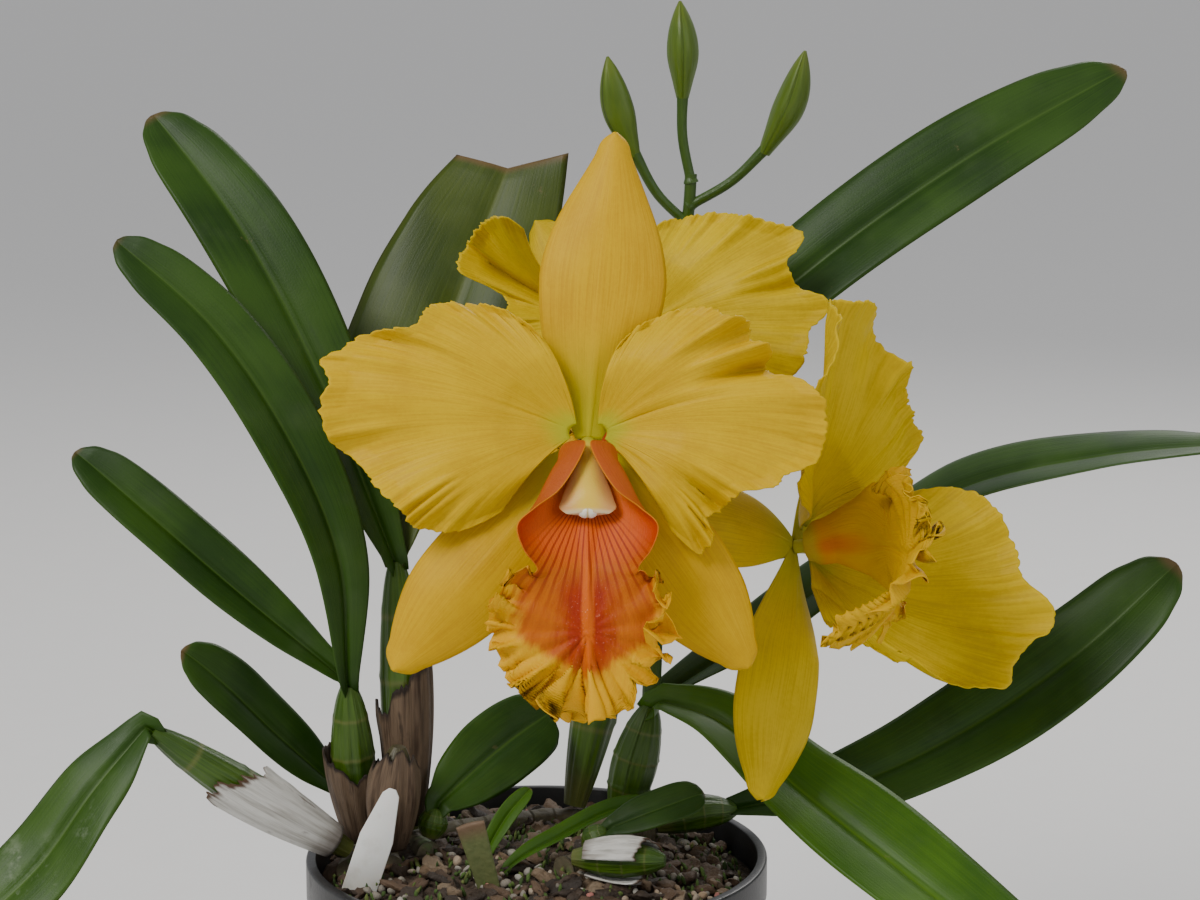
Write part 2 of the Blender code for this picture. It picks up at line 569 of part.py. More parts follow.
def potting_mix():
    """The bark mix that fills the pot, its top rough with chips, with a bed for the rhizome."""
    draw = random.Random(SOIL_SEED)
    low = POT_FLOOR + SOIL_GAP
    edge = pot_radius(SOIL_EDGE_HEIGHT) - POT_WALL - SOIL_GAP
    foot = pot_radius(low) - POT_WALL - SOIL_GAP
    rings = 11
    mesh = bpy.data.meshes.new("potting_mix")
    bm = bmesh.new()
    bmesh.ops.create_uvsphere(bm, u_segments=POT_SIDES, v_segments=rings, radius=1)
    for vertex in bm.verts:
        ring = round(math.acos(max(-1, min(1, -vertex.co.z))) / math.pi * rings)
        flat = Vector((vertex.co.x, vertex.co.y, 0))
        flat = flat.normalized() if flat.length > 1e-6 else flat
        if ring <= 1:
            vertex.co = flat * foot * ring + Vector((0, 0, low))
        else:
            radius = edge * (rings - ring) / (rings - 2)
            rough = 0 if ring == 2 else draw.uniform(-SOIL_RELIEF, SOIL_RELIEF)
            vertex.co = flat * radius + Vector((0, 0, soil_height(radius) + rough))
    bm.to_mesh(mesh)
    bm.free()
    return finish("potting_mix", mesh, BARK_BROWN, 0.9)


def on_soil(x, y, lift):
    """A point in millimetres over the potting mix at (x, y)."""
    return (x, y, (soil_height(math.hypot(x, y) * MM) + lift) / MM)


def shoot_holes(mix):
    """Holes in the potting mix that the new growth stands in."""
    for i, (x, y) in enumerate(SHOOT_HOLES):
        bpy.ops.mesh.primitive_cylinder_add(
            vertices=9, radius=SHOOT_HOLE_RADIUS, depth=2 * SHOOT_HOLE_DEPTH,
            location=Vector(on_soil(x, y, 0)) * MM,
        )
        hole = bpy.context.object
        hole.name = f"shoot_cutter_{i + 1}"
        adopt(hole)
        cut(mix, hole)


def rhizome(mix):
    """The creeping rootstock that the pseudobulbs stand on, half sunk in the potting mix."""
    pieces = []
    for i, route in enumerate([RHIZOME_ROUTE] + RHIZOME_BRANCHES):
        points = [on_soil(x, y, RHIZOME_LIFT) for x, y in route]
        name = "rhizome" if i == 0 else f"rhizome_branch_{i}"
        pieces.append(tube(name, RHIZOME_BROWN, points, RHIZOME_RADIUS, round_steps=1))
        bed_radius = RHIZOME_RADIUS + TRENCH_GAP
        name = f"bed_cutter_{i}"
        cut(mix, tube(name, RHIZOME_BROWN, points, bed_radius, round_steps=1, overrun=TRENCH_GAP))
    fuse(pieces[0], pieces[1:])


def leaf(name, route, width, face, fold, notched=False, rows=LEAF_ROWS, columns=4):
    """A thick strap leaf, its halves folded up from the midrib."""
    widths = NOTCHED_WIDTH_ALONG if notched else LEAF_WIDTH_ALONG
    face = Vector(face).normalized()

    def shape(u, v):
        ahead = heading(route, u)
        across = ahead.cross(face).normalized()
        normal = across.cross(ahead)
        half = width / 2 * MM * through(widths, u)
        rise = math.radians(fold + (LEAF_FOOT_FOLD - fold) * max(0, 1 - u / 0.25) ** 2)
        tip = max(0, (u - 0.8) / 0.2) if notched else 0
        notch = (NOTCH_DEPTH * (1 - abs(v)) - NOTCH_SLANT * v) * tip
        curl = half * (abs(v) * math.sin(rise) - LEAF_EDGE_CURL * v * v)
        return along(route, u) - ahead * notch + across * half * v * math.cos(rise) + normal * curl

    blade(name, LEAF_OLIVE if notched else LEAF_GREEN, rows, columns, LEAF_THICKNESS, shape)


def pseudobulb(name, route, radius):
    """A spindle-shaped storage stem."""
    swollen(
        name, BULB_GREEN, lambda w: along(route, w),
        lambda w: radius * MM * through(BULB_RADII, w), BULB_SIDES, BULB_RINGS,
    )


def sheath(name, bulb, span, flare, turn, white):
    """A dry papery bract wrapped most of the way round a pseudobulb, ragged at its top."""
    route = BULBS[bulb]["route"]
    radius = BULBS[bulb]["radius"]

    def shape(u, v):
        ragged = 0.10 * math.cos(v * 4.2) * u - 0.16 * abs(v) ** 3 * u
        w = span[0] + (span[1] - span[0]) * min(max(u + ragged, 0), 1.1)
        axis = heading(route, w)
        side = Vector((0, -1, 0))
        side = (side - axis * side.dot(axis)).normalized()
        angle = math.radians(turn + SHEATH_WRAP * v)
        out = Matrix.Rotation(angle, 3, axis) @ side
        widened = flare * MM * u * u * (0.4 + 0.6 * abs(v))
        reach = radius * through(BULB_RADII, w) * MM + SHEATH_GAP + widened
        return along(route, w) + out * reach

    colour = SHEATH_WHITE if white else SHEATH_BROWN
    blade(name, colour, SHEATH_ROWS, SHEATH_COLUMNS, SHEATH_THICKNESS, shape)


def bloom_frame(place, right, up):
    """The matrix that carries a bloom's own frame to its place."""
    up = Vector(up).normalized()
    right = Vector(right)
    right = (right - up * right.dot(up)).normalized()
    facing = right.cross(up)
    frame = Matrix((right, up, facing)).transposed().to_4x4()
    frame.translation = Vector(place) * MM
    return frame


def swept(point, toward, sweep):
    """Turns a point of a tepal forward, from the plane of the bloom towards the way it faces."""
    out = Vector((math.cos(toward), math.sin(toward), 0))
    return Matrix.Rotation(sweep, 3, out.cross(Vector((0, 0, 1)))) @ point


def twisted(across, level, twist, u):
    """Turns a place across a tepal and its level about the tepal's midrib, more so from its foot."""
    angle = math.radians(twist) * min(1, u / 0.4)
    return (across * math.cos(angle) - level * math.sin(angle),
            across * math.sin(angle) + level * math.cos(angle))


def sepal(name, frame, size, fine, toward, length, width, sweep, bow, twist=0):
    """A narrow outer tepal with a soft keel."""
    toward = math.radians(toward)
    out = Vector((math.cos(toward), math.sin(toward), 0))
    side = Vector((-out.y, out.x, 0))

    def shape(u, v):
        reach = SEPAL_FOOT_RADIUS + (length * size * MM - SEPAL_FOOT_RADIUS) * u
        half = width / 2 * size * MM * through(SEPAL_WIDTH_ALONG, u)
        arch = bow * MM * math.sin(math.pi * u) * (1 - v * v) - SEPAL_EDGE_DROP * u * v * v
        across, level = twisted(half * v, arch, twist, u)
        point = out * reach + side * across + Vector((0, 0, SEPAL_FOOT_LEVEL + level))
        return frame @ swept(point, toward, math.radians(sweep) * u**0.5)

    blade(name, PETAL_YELLOW, round(12 * fine), 4, TEPAL_THICKNESS, shape)


def petal(name, frame, size, fine, outline, turn, sweep, twist, fold, wave, droop, pinch):
    """A broad inner tepal: rays fan out from its claw, and its edge is waved."""
    stations = [(angle, reach * MM * size) for angle, reach in outline]
    first, last = stations[0][0], stations[-1][0]
    middle = 180 if first > 90 else 0
    toward = math.radians(middle + turn)
    ahead = Vector((math.cos(toward), math.sin(toward), 0))
    side = Vector((-ahead.y, ahead.x, 0))
    foot = Vector((PETAL_FOOT[0] * math.cos(math.radians(middle)), PETAL_FOOT[1], PETAL_FOOT[2]))

    def shape(u, v):
        angle = first + (last - first) * (v + 1) / 2
        out = PETAL_CLAW_RADIUS + (through(stations, angle) - PETAL_CLAW_RADIUS) * u
        bent = math.copysign(droop, 90 - middle) - pinch * (last - first) / 2 * v
        angle = math.radians(angle + bent * (1 - u) - middle)
        dome = PETAL_DOME * math.sin(math.pi * min(u * 1.1, 1)) * min(out / (25 * MM), 1)
        frill = PETAL_FRILL * u**3 * math.sin(wave + 3.5 * math.pi * v + 1.5 * math.sin(3 * v))
        across = out * math.sin(angle)
        folded = math.radians(fold) * min(1, u / 0.4)
        level = dome + PETAL_LIFT * u + frill + abs(across) * math.sin(folded)
        across, level = twisted(across * math.cos(folded), level, twist, u)
        point = ahead * out * math.cos(angle) + side * across + Vector((0, 0, level))
        return frame @ (foot + swept(point, toward, math.radians(sweep) * u**0.5))

    blade(name, PETAL_YELLOW, round(9 * fine), round(22 * fine), TEPAL_THICKNESS, shape)


def leant(point, lean):
    """Bends the lip and column forward by an angle that grows from their foot."""
    angle = math.radians(lean) * min(1, point.length / (12 * MM))
    return Matrix.Rotation(-angle, 3, "X") @ point


def lip(name, frame, size, fine, lean, spread):
    """The lip: a throat that wraps over the column, then a broad frilled apron."""
    parts = [[(s[0], s[i]) for s in LIP_STATIONS] for i in range(1, 5)]

    def shape(u, v):
        keel = through(parts[0], u)
        edge = through(parts[1], u)
        keel = Vector((0, keel.x, keel.y))
        a, b = keel + through(parts[2], u), edge + through(parts[3], u)
        t = abs(v)
        point = keel * (1 - t) ** 3 + a * 3 * t * (1 - t) ** 2 + b * 3 * t * t * (1 - t) + edge * t**3
        point = Vector((math.copysign(point.x, v), point.y, point.z)) * MM
        past = max(0, (u - LIP_FRILL_START) / (1 - LIP_FRILL_START))
        near_edge = max(t, past) ** 3 * min(1, past * 5)
        around = math.atan2(point.x, LIP_FRILL_CENTRE - point.y)
        point.z += LIP_FRILL * near_edge * math.sin(0.6 + LIP_FRILL_WAVES * around)
        spare = spread * ((1 + v) / 2) ** 2 * min(1, max(0, (u - LIP_SPREAD_START) / LIP_SPREAD_RISE))
        return frame @ leant(point * size, lean - spare)

    blade(name, LIP_ORANGE, round(22 * fine), 2 * round(8 * fine), LIP_THICKNESS, shape)


def column(name, frame, size, lean):
    """The column: a waxy body that widens into wings round its cap."""
    swollen(
        name, COLUMN_CREAM, lambda w: frame @ leant(along(COLUMN_ROUTE, w) * size, lean),
        lambda w: through(COLUMN_HALF_WIDTH, w) * MM * size, 10, 8,
        side=frame.to_3x3() @ Vector((1, 0, 0)),
        depths=lambda w: through(COLUMN_HALF_DEPTH, w) * MM * size,
    )


def bloom(
    name, place, right, up, sepals, petals, lean, fine, size, lip_size, lip_spread, ovary,
):
    """One open flower. Gives the route, in millimetres, of the pedicel and ovary that carry it."""
    frame = bloom_frame(place, right, up)
    for part, sizes in sepals.items():
        sepal(f"{name}_{part}", frame, size, fine, **sizes)
    for part, sizes in petals.items():
        petal(f"{name}_{part}", frame, size, fine, **sizes)
    lip(f"{name}_lip", frame, lip_size, fine, lean, lip_spread)
    column(f"{name}_column", frame, lip_size, lean)
    top = frame @ Vector((0, 0, OVARY_TOP_LEVEL))
    neck = frame @ Vector((0, 0, OVARY_TOP_LEVEL - OVARY_STRAIGHT))
    return ovary + [tuple(neck / MM), tuple(top / MM)]


def flower_stem(ovaries):
    """The peduncle with the pedicel and ovary of each bloom, grown as one."""
    stem = tube("flower_stem", STEM_GREEN, PEDUNCLE_ROUTE, PEDUNCLE_RADIUS)
    swell = OVARY_RADIUS / PEDICEL_RADIUS
    scales = [(0, 1), (0.6, 1), (0.85, swell), (1, swell)]
    pedicels = []
    for i, route in enumerate(ovaries):
        pedicels.append(tube(f"pedicel_{i}", STEM_GREEN, route, PEDICEL_RADIUS, scales))
    fuse(stem, pedicels)


def bud_spray():
    """A younger flower stem with three closed buds on short stalks, grown as one."""
    stem = tube("bud_spray", BUD_GREEN, SPRAY_ROUTE, SPRAY_RADIUS)
    pieces = []
    for name, made in BUDS.items():
        pieces.append(tube(f"stalk_{name}", BUD_GREEN, made["stalk"], SPRAY_RADIUS))
        pieces.append(swollen(
            f"bud_{name}", BUD_GREEN, lambda w, route=made["bud"]: along(route, w),
            lambda w: through(BUD_RADII, w) * MM, 8, 7,
        ))
    fuse(stem, pieces)


def upright(foot, top, facing=Vector((0, -1, 0.2))):
    """The matrix that stands a flat outline from foot towards top, its face towards the front."""
    foot, top = Vector(foot) * MM, Vector(top) * MM
    up = (top - foot).normalized()
    right = up.cross(facing).normalized()
    frame = Matrix((right, up, right.cross(up))).transposed().to_4x4()
    frame.translation = foot
    return frame


def strip(name, colour, outline, thickness, frame):
    """A flat piece: a 2D outline with a thickness, made a mesh and stood in place."""
    curve = bpy.data.curves.new(name, "CURVE")
    curve.dimensions = "2D"
    curve.fill_mode = "BOTH"
    curve.extrude = thickness / 2
    spline = curve.splines.new("POLY")
    spline.points.add(len(outline) - 1)
    for point, (x, y) in zip(spline.points, outline):
        point.co = (x, y, 0, 1)
    spline.use_cyclic_u = True
    holder = finish(name, curve, colour)
    graph = bpy.context.evaluated_depsgraph_get()
    mesh = bpy.data.meshes.new_from_object(holder.evaluated_get(graph))
    bpy.data.objects.remove(holder)
    bm = bmesh.new()
    bm.from_mesh(mesh)
    bmesh.ops.remove_doubles(bm, verts=bm.verts, dist=0.01 * MM)
    bmesh.ops.recalc_face_normals(bm, faces=bm.faces)
    bm.to_mesh(mesh)
    bm.free()
    obj = finish(name, mesh, colour)
    obj.matrix_world = frame
    return obj


def stood_in(mix, name, colour, outline, thickness, frame):
    """A flat piece that stands in a slot of the potting mix."""
    strip(name, colour, outline, thickness, frame)
    width = max(x for x, _ in outline) - min(x for x, _ in outline)
    side, low, high = width / 2 + SEAT_GAP, -SEAT_GAP, 25 * MM
    slot = [(-side, low), (side, low), (side, high), (-side, high)]
    cut(mix, strip(f"{name}_slot", colour, slot, thickness + 2 * SEAT_GAP, frame))


def plant_tag(mix):
    """A blank plastic plant tag with a narrowed top."""
    tall = (Vector(TAG_TOP) - Vector(TAG_FOOT)).length * MM
    side, neck, tip = TAG_WIDTH / 2, tall - TAG_NARROWING, 2 * MM
    outline = [
        (-side, 0), (side, 0), (side, neck), (0.5 * side, tall - tip), (0.2 * side, tall),
        (-0.2 * side, tall), (-0.5 * side, tall - tip), (-side, neck),
    ]
    stood_in(mix, "plant_tag", TAG_WHITE, outline, TAG_THICKNESS, upright(TAG_FOOT, TAG_TOP))


def cut_stub(mix):
    """The stub of an old leaf, cut straight across."""
    tall = (Vector(STUB_TOP) - Vector(STUB_FOOT)).length * MM
    side = STUB_WIDTH / 2
    outline = [(-0.7 * side, 0), (0.7 * side, 0), (side, tall), (-side, tall)]
    stood_in(mix, "cut_leaf_stub", LEAF_OLIVE, outline, STUB_THICKNESS, upright(STUB_FOOT, STUB_TOP))


def main():
    for obj in list(bpy.data.objects):
        bpy.data.objects.remove(obj)
    for name in (PLANT, "cutters"):
        bpy.context.scene.collection.children.link(bpy.data.collections.new(name))
    pot()
    mix = potting_mix()
    rhizome(mix)
    shoot_holes(mix)
    plant_tag(mix)
    cut_stub(mix)
    for name, sizes in BULBS.items():
        pseudobulb(name, **sizes)
    for name, sizes in SHEATHS.items():
        sheath(name, **sizes)
    for name, sizes in LEAVES.items():
        leaf(name, **sizes)
    flower_stem([bloom(name, **sizes) for name, sizes in BLOOMS.items()])
    bud_spray()


main()
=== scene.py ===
"""The potted cattleya orchid as it looks: fine petals, lips, leaves, pseudobulbs and bark.

Metres, +Z up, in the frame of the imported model. Lists of places and sizes are in millimetres,
times MM, and repeat the driving values of the solids. A bloom's own frame has X to its right,
Y towards its dorsal sepal and Z the way it faces. A sheet's grid has u along it, from 0 at its
foot to 1 at its end, and v across it, from -1 to 1.
"""

import math

import bmesh
import bpy
import numpy as np
from mathutils import Matrix, Vector


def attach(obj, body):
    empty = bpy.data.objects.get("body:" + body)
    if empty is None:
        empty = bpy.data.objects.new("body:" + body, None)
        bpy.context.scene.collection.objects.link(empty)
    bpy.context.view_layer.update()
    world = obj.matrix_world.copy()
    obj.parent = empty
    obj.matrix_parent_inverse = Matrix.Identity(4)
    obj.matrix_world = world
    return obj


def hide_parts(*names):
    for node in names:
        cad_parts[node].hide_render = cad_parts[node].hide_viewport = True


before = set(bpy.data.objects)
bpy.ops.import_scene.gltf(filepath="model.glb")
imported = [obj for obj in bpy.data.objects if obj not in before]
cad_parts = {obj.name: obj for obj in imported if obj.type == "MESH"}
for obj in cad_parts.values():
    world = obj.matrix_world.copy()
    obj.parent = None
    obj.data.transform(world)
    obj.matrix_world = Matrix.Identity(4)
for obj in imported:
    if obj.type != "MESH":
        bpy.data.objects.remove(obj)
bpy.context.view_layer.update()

MM = 0.001

CAMERA_PLACE = (0.02056, -0.8875, 0.43441)
CAMERA_TILT = 80
CAMERA_LENS = 85

POT_HEIGHT = 145 * MM
POT_RIM_RADIUS = 75 * MM
POT_BASE_RADIUS = 55 * MM
POT_BAND_HEIGHT = 13 * MM
POT_BAND_STEP = 1.8 * MM
POT_WALL = 2.0 * MM
POT_FLOOR = 3.0 * MM
# The radii that round the pot's foot, and its rim band below, outside and inside.
POT_ROUNDS = (2.0 * MM, 0.5 * MM, 0.9 * MM, 0.4 * MM)
# Two rings just outside the drain holes keep the underside's shading flat.
POT_UNDERSIDE_RINGS = (46.0 * MM, 46.6 * MM)
POT_SIDES = 128
DRAIN_HOLES = 6
DRAIN_RADIUS = 5 * MM
DRAIN_CIRCLE = 38 * MM

SOIL_GAP = 0.9 * MM
SOIL_EDGE_HEIGHT = 136 * MM
SOIL_CROWN = 10 * MM
# How far the crumbly body lies under the chips, how high its swells are, and how far the chips
# stay from the pot's wall.
SOIL_DROP = 1.2 * MM
SOIL_SWELL = 0.5 * MM
LITTER_INSET = 3.5 * MM
SOIL_RINGS = 44
SOIL_SIDES = 96
RHIZOME_RADIUS = 4.5 * MM
RHIZOME_LIFT = 1.0 * MM

LEAF_THICKNESS = 2.2 * MM
TEPAL_THICKNESS = 0.9 * MM
LIP_THICKNESS = 0.8 * MM
SHEATH_THICKNESS = 0.5 * MM
SHEATH_GAP = 1.5 * MM

SEPAL_FOOT_RADIUS = 1.6 * MM
SEPAL_FOOT_LEVEL = -2.6 * MM
PETAL_FOOT = (3.0, 3.5, 0.7)
PETAL_CLAW_RADIUS = 2.6 * MM
OVARY_TOP_LEVEL = -3.3 * MM
OVARY_STRAIGHT = 12 * MM

# Each leaf: route of its midrib, full width, the way its upper face looks, fold of its halves.
LEAVES = {
    "leaf_left_long": {
        "route": [(-61.2, 0.8, 201.8), (-63, -2, 243), (-80, 2, 284), (-102, 8, 315), (-134, 15, 343)],
        "width": 26, "face": (0.30, -0.85, 0.40), "fold": 24,
    },
    "leaf_left_middle": {
        "route": [(-62.4, 5.4, 201.4), (-96, 9, 229), (-125, 12, 254), (-150, 18, 274)],
        "width": 23, "face": (0.30, -0.80, 0.50), "fold": 26,
    },
    "leaf_left_low": {
        "route": [(-65.8, 20.3, 159.4), (-86, 11, 182), (-100, 3, 199), (-114, -3, 213)],
        "width": 22, "face": (0.30, -0.70, 0.60), "fold": 20,
    },
    "leaf_left_hanging": {
        "route": [(-121.8, -27.8, 194.6), (-137, -36, 177), (-154, -45, 154), (-176, -55, 134)],
        "width": 29, "face": (-0.35, -0.80, 0.50), "fold": 12, "finish": "stained_leaf",
    },
    "leaf_back_left": {
        "route": [(-47, 15.6, 239.8), (-67, 20, 291), (-97, 36, 345), (-127, 52, 381)],
        "width": 33, "face": (0.20, -0.85, 0.50), "fold": 22,
    },
    "leaf_back_broad": {
        "route": [(-46, 20.6, 239.8), (-45, 33, 267), (-31, 56, 309), (-9, 78, 366)],
        "width": 64, "face": (-0.15, -0.95, 0.20), "fold": 10, "finish": "olive_leaf", "notched": True,
    },
    "leaf_right_high": {
        "route": [(34.8, 46.4, 238), (48, 53, 290), (91, 58, 329), (141, 64, 364), (197, 72, 395)],
        "width": 35, "face": (-0.20, -0.80, 0.55), "fold": 18,
    },
    "leaf_right_level": {
        "route": [
            (41.5, 16.5, 192.4), (68, 34, 206), (98, 42, 226), (139, 34, 258), (183, 18, 272),
            (222, 0, 279),
        ],
        "width": 34, "face": (0.00, -0.30, 1.00), "fold": 16,
    },
    "leaf_right_low": {
        "route": [(68.2, 26.4, 151.6), (105, 32, 158), (142, 38, 174), (181, 42, 200), (215, 45, 231)],
        "width": 35, "face": (-0.20, -0.80, 0.60), "fold": 18,
    },
    # This leaf's lighter green is painted light: it stands for the light that falls on the leaf as it
    # arches out.
    "leaf_right_arching": {
        "route": [(40.6, 7.8, 192.8), (56, -2, 191), (84, -20, 172), (122, -50, 148), (158, -75, 124)],
        "width": 39, "face": (0.25, -0.65, 0.70), "fold": 20, "finish": "bright_leaf",
    },
    "leaf_centre": {
        "route": [(-31.6, 0.4, 161.2), (-24, 7, 167), (-11, 17, 176), (4, 28, 184)],
        "width": 27, "face": (0.00, -0.90, 0.40), "fold": 14,
    },
    "leaf_front_small": {
        "route": [(24.6, -19.4, 159.4), (37, -18, 164), (54, -15, 169)],
        "width": 15, "face": (0.00, -0.60, 0.80), "fold": 15,
    },
    "leaf_new_shoot": {
        "route": [(-14, -23, 141), (-8, -21, 147), (8, -12, 154), (24, -5, 160), (38, -2, 163)],
        "width": 9, "face": (0.00, -0.50, 0.85), "fold": 40, "finish": "bright_leaf",
    },
    "leaf_new_tip": {
        "route": [(-19, -10, 141), (-15, -8, 150), (-9, -4, 159), (-2, 1, 166)],
        "width": 8, "face": (0.00, -0.80, 0.50), "fold": 35, "finish": "bright_leaf",
    },
}
LEAF_FOOT_FOLD = 50
LEAF_EDGE_CURL = 0.10
# The width of a leaf along it, as a share of its full width.
LEAF_WIDTH_ALONG = [(0, 0.28), (0.12, 0.50), (0.35, 0.86), (0.62, 1.0), (0.84, 0.90), (0.94, 0.66),
                    (0.985, 0.34), (1, 0.03)]
NOTCHED_WIDTH_ALONG = [(0, 0.15), (0.12, 0.36), (0.35, 0.88), (0.55, 1.0), (0.8, 0.82), (1, 0.58)]
NOTCH_DEPTH = 5 * MM
NOTCH_SLANT = 6 * MM
# A leaf whose foot is this near the top of a pseudobulb is drawn on into it, this deep.
LEAF_ROOT_REACH = 14 * MM
LEAF_ROOT_DEPTH = 3 * MM
LEAF_STEPS = 60
LEAF_COLUMNS = 21
LEAF_ROWS = 90
# How high a leaf's edge waves, and its midrib's groove above and keel below, in thicknesses.
LEAF_WAVE = 0.8 * MM
LEAF_GROOVE = 0.55
LEAF_KEEL = 0.75

# Each pseudobulb: the route of its axis and its widest radius, in mm.
BULB_RADII = [(0, 0.46), (0.15, 0.72), (0.45, 1.0), (0.75, 0.85), (0.95, 0.50), (1, 0.34)]
BULBS = {
    "pseudobulb_left_front": {"route": [(-58, 8, 146), (-60, 6, 174), (-61, 3, 200)], "radius": 7.0},
    "pseudobulb_left_back": {"route": [(-43, 13, 148.8), (-44, 15, 195), (-46, 18, 238)], "radius": 7.5},
    "pseudobulb_left_leaning": {
        "route": [(-61, -6, 147.5), (-92, -18, 171), (-120, -27, 193)], "radius": 6.5,
    },
    "pseudobulb_old_brown": {"route": [(-47, -9, 148.4), (-46, -9, 166), (-44, -9, 183)], "radius": 6.5},
    "pseudobulb_flowering": {"route": [(27, 12, 151), (32, 11, 172), (37, 11, 191)], "radius": 7.5},
    "pseudobulb_budding": {"route": [(12, 33, 150.4), (22, 41, 195), (32, 48, 236)], "radius": 8.0},
    "pseudobulb_right_low": {"route": [(39, 19, 148), (53, 23, 151), (66, 26, 151)], "radius": 6.0},
    "pseudobulb_left_low": {"route": [(-60, 22, 145), (-62, 21.5, 151.5), (-65, 20.6, 158)], "radius": 4.4},
    "pseudobulb_centre": {"route": [(-35, -2, 150.2), (-34, -1, 154), (-32.6, -0.2, 159.6)], "radius": 4.8},
    "pseudobulb_front_small": {
        "route": [(16, -17, 152), (19, -18, 155), (23.2, -19, 157.8)], "radius": 4.4,
    },
    "pseudobulb_front_lying": {"route": [(12, -28, 152), (26, -31, 152.5), (41, -34, 153)], "radius": 5.5},
}
# Where a pseudobulb's rings are along it, and how high and broad they are, as shares.
BULB_RINGS = (0.30, 0.56, 0.80)
BULB_RING_HEIGHT = 0.05
BULB_RING_BREADTH = 0.012
BULB_FURROW = 0.035
BULB_STEPS = 48
BULB_SIDES = 56

# Each sheath: the pseudobulb it wraps, the stretch of it covered, how far the sheath flares at
# its top in mm, and how far it is turned about the pseudobulb in degrees.
SHEATHS = {
    "sheath_left_front": {
        "bulb": "pseudobulb_left_front", "span": (0.02, 0.55), "flare": 2.0, "turn": -95, "white": False,
    },
    "sheath_left_back": {
        "bulb": "pseudobulb_left_back", "span": (0.02, 0.60), "flare": 1.4, "turn": 85, "white": False,
    },
    "sheath_left_leaning": {
        "bulb": "pseudobulb_left_leaning", "span": (0.08, 0.62), "flare": 1.6, "turn": -30, "white": True,
    },
    "sheath_old_brown": {
        "bulb": "pseudobulb_old_brown", "span": (0.03, 0.90), "flare": 1.2, "turn": 10, "white": False,
    },
    "sheath_front_lying": {
        "bulb": "pseudobulb_front_lying", "span": (0.14, 0.86), "flare": 1.0, "turn": 200, "white": True,
    },
}
# How far round the pseudobulb a sheath reaches to either side, in degrees.
SHEATH_WRAP = 145
SHEATH_ROWS = 36
SHEATH_COLUMNS = 66

RHIZOME_ROUTE = [(-61, -5), (-58, 8), (-43, 13), (-16, 24), (12, 33), (27, 13), (22, -8), (9, -22)]
RHIZOME_BRANCHES = [
    [(-45, 12), (-49, 2), (-47, -9)], [(26, 16), (38, 19)], [(-56, 9), (-60, 22)], [(-41, 12), (-35, -2)],
]

PEDUNCLE_ROUTE = [(37.3, 11.2, 192.3), (38, 18, 213), (36, 28, 240), (32, 33, 268), (29, 40, 286)]
PEDUNCLE_RADIUS = 3.0
PEDICEL_RADII = [(0, 2.4), (0.6, 2.4), (0.85, 3.2), (1, 3.2)]
SPRAY_ROUTE = [(30.5, 50, 237.6), (37, 66, 289), (45, 65, 325), (50, 60, 347), (51, 60, 361)]
SPRAY_RADIUS = 2.0
# Each bud: its short stalk's route, then the bud's foot, middle and tip.
BUDS = {
    "left": {
        "stalk": [(49, 60, 345), (40, 59, 354), (32, 57, 368)],
        "bud": [(32, 57, 367), (26, 56, 384), (23, 54, 400)],
    },
    "top": {
        "stalk": [(51, 60, 358), (48, 60, 374), (48, 60, 388)],
        "bud": [(48, 60, 386), (48, 60, 402), (47, 60, 418)],
    },
    "right": {
        "stalk": [(50, 60, 350), (65, 59, 359), (76, 57, 370)],
        "bud": [(75, 57, 368), (84, 55, 386), (88, 52, 402)],
    },
}
BUD_RADII = [(0, 2.0), (0.15, 3.2), (0.45, 5.2), (0.8, 3.4), (0.95, 1.3), (1, 0.4)]
STEM_STEPS = 64
# Where the peduncle and the spray have a joint along them.
PEDUNCLE_KNOT = 0.45
SPRAY_KNOT = 0.62

TAG_FOOT = (-60, -23, 128)
TAG_TOP = (-45, -23, 173)
TAG_WIDTH = 11 * MM
TAG_THICKNESS = 0.8 * MM
TAG_NARROWING = 17 * MM
STUB_FOOT = (-13, -31, 138)
STUB_TOP = (-20, -37, 166)
STUB_WIDTH = 9 * MM
STUB_THICKNESS = 2.4 * MM
STUB_ROWS = 30
STUB_COLUMNS = 16

# Petal outlines: the angle of a ray from the claw in degrees, and how far the petal reaches, in mm.
PETAL_FRONT_RIGHT = [(-53, 36), (-51, 45), (-47, 46.5), (-41.5, 46), (-38, 41), (-32, 43), (-26, 44),
                     (-21, 47), (-17, 54), (-12.5, 57), (-9.5, 62), (-6, 66), (-2, 67), (4, 67.5),
                     (8, 67.5), (12, 65), (16, 60), (19, 54), (22, 53.5), (25.5, 57), (28, 56.5),
                     (31, 53), (35.5, 55), (38.5, 54.5), (41, 52), (47, 50), (53, 46.5), (57, 43.5),
                     (63, 38.5), (70, 33), (77, 26)]
PETAL_FRONT_LEFT = [(111, 30), (117, 38), (122, 43.5), (127, 48), (132, 51), (135, 54.5), (140, 57.5),
                    (144, 57.5), (148.5, 59), (151, 63), (156, 70), (160.5, 74), (164.5, 78.5),
                    (167.5, 75), (171, 76), (175, 76), (179, 75), (183, 72), (186, 67.5), (190.5, 63.5),
                    (193, 62.5), (198, 60), (205, 56.5), (209.5, 56), (213, 52.5), (217, 48.5),
                    (221, 43), (226, 32)]
PETAL_SIDE_RIGHT = [(-60, 26), (-45, 32), (-37, 40), (-33, 46), (-29.5, 49), (-27.5, 58), (-22, 69),
                    (-18, 75.5), (-11, 74), (-4.5, 76), (0, 80), (5, 78), (8, 72.5), (11, 69), (20, 66),
                    (29, 62), (38.5, 56), (44, 50), (48, 43), (60, 36)]
PETAL_SIDE_LEFT = [(120, 36), (124, 47), (131, 51), (139, 52), (146, 53), (152, 57),
                   (156, 61.5), (160, 63), (164, 66.5), (167.5, 72), (171, 77), (180, 80), (190, 81),
                   (198, 79), (206, 73), (214, 63), (222, 51), (232, 36)]
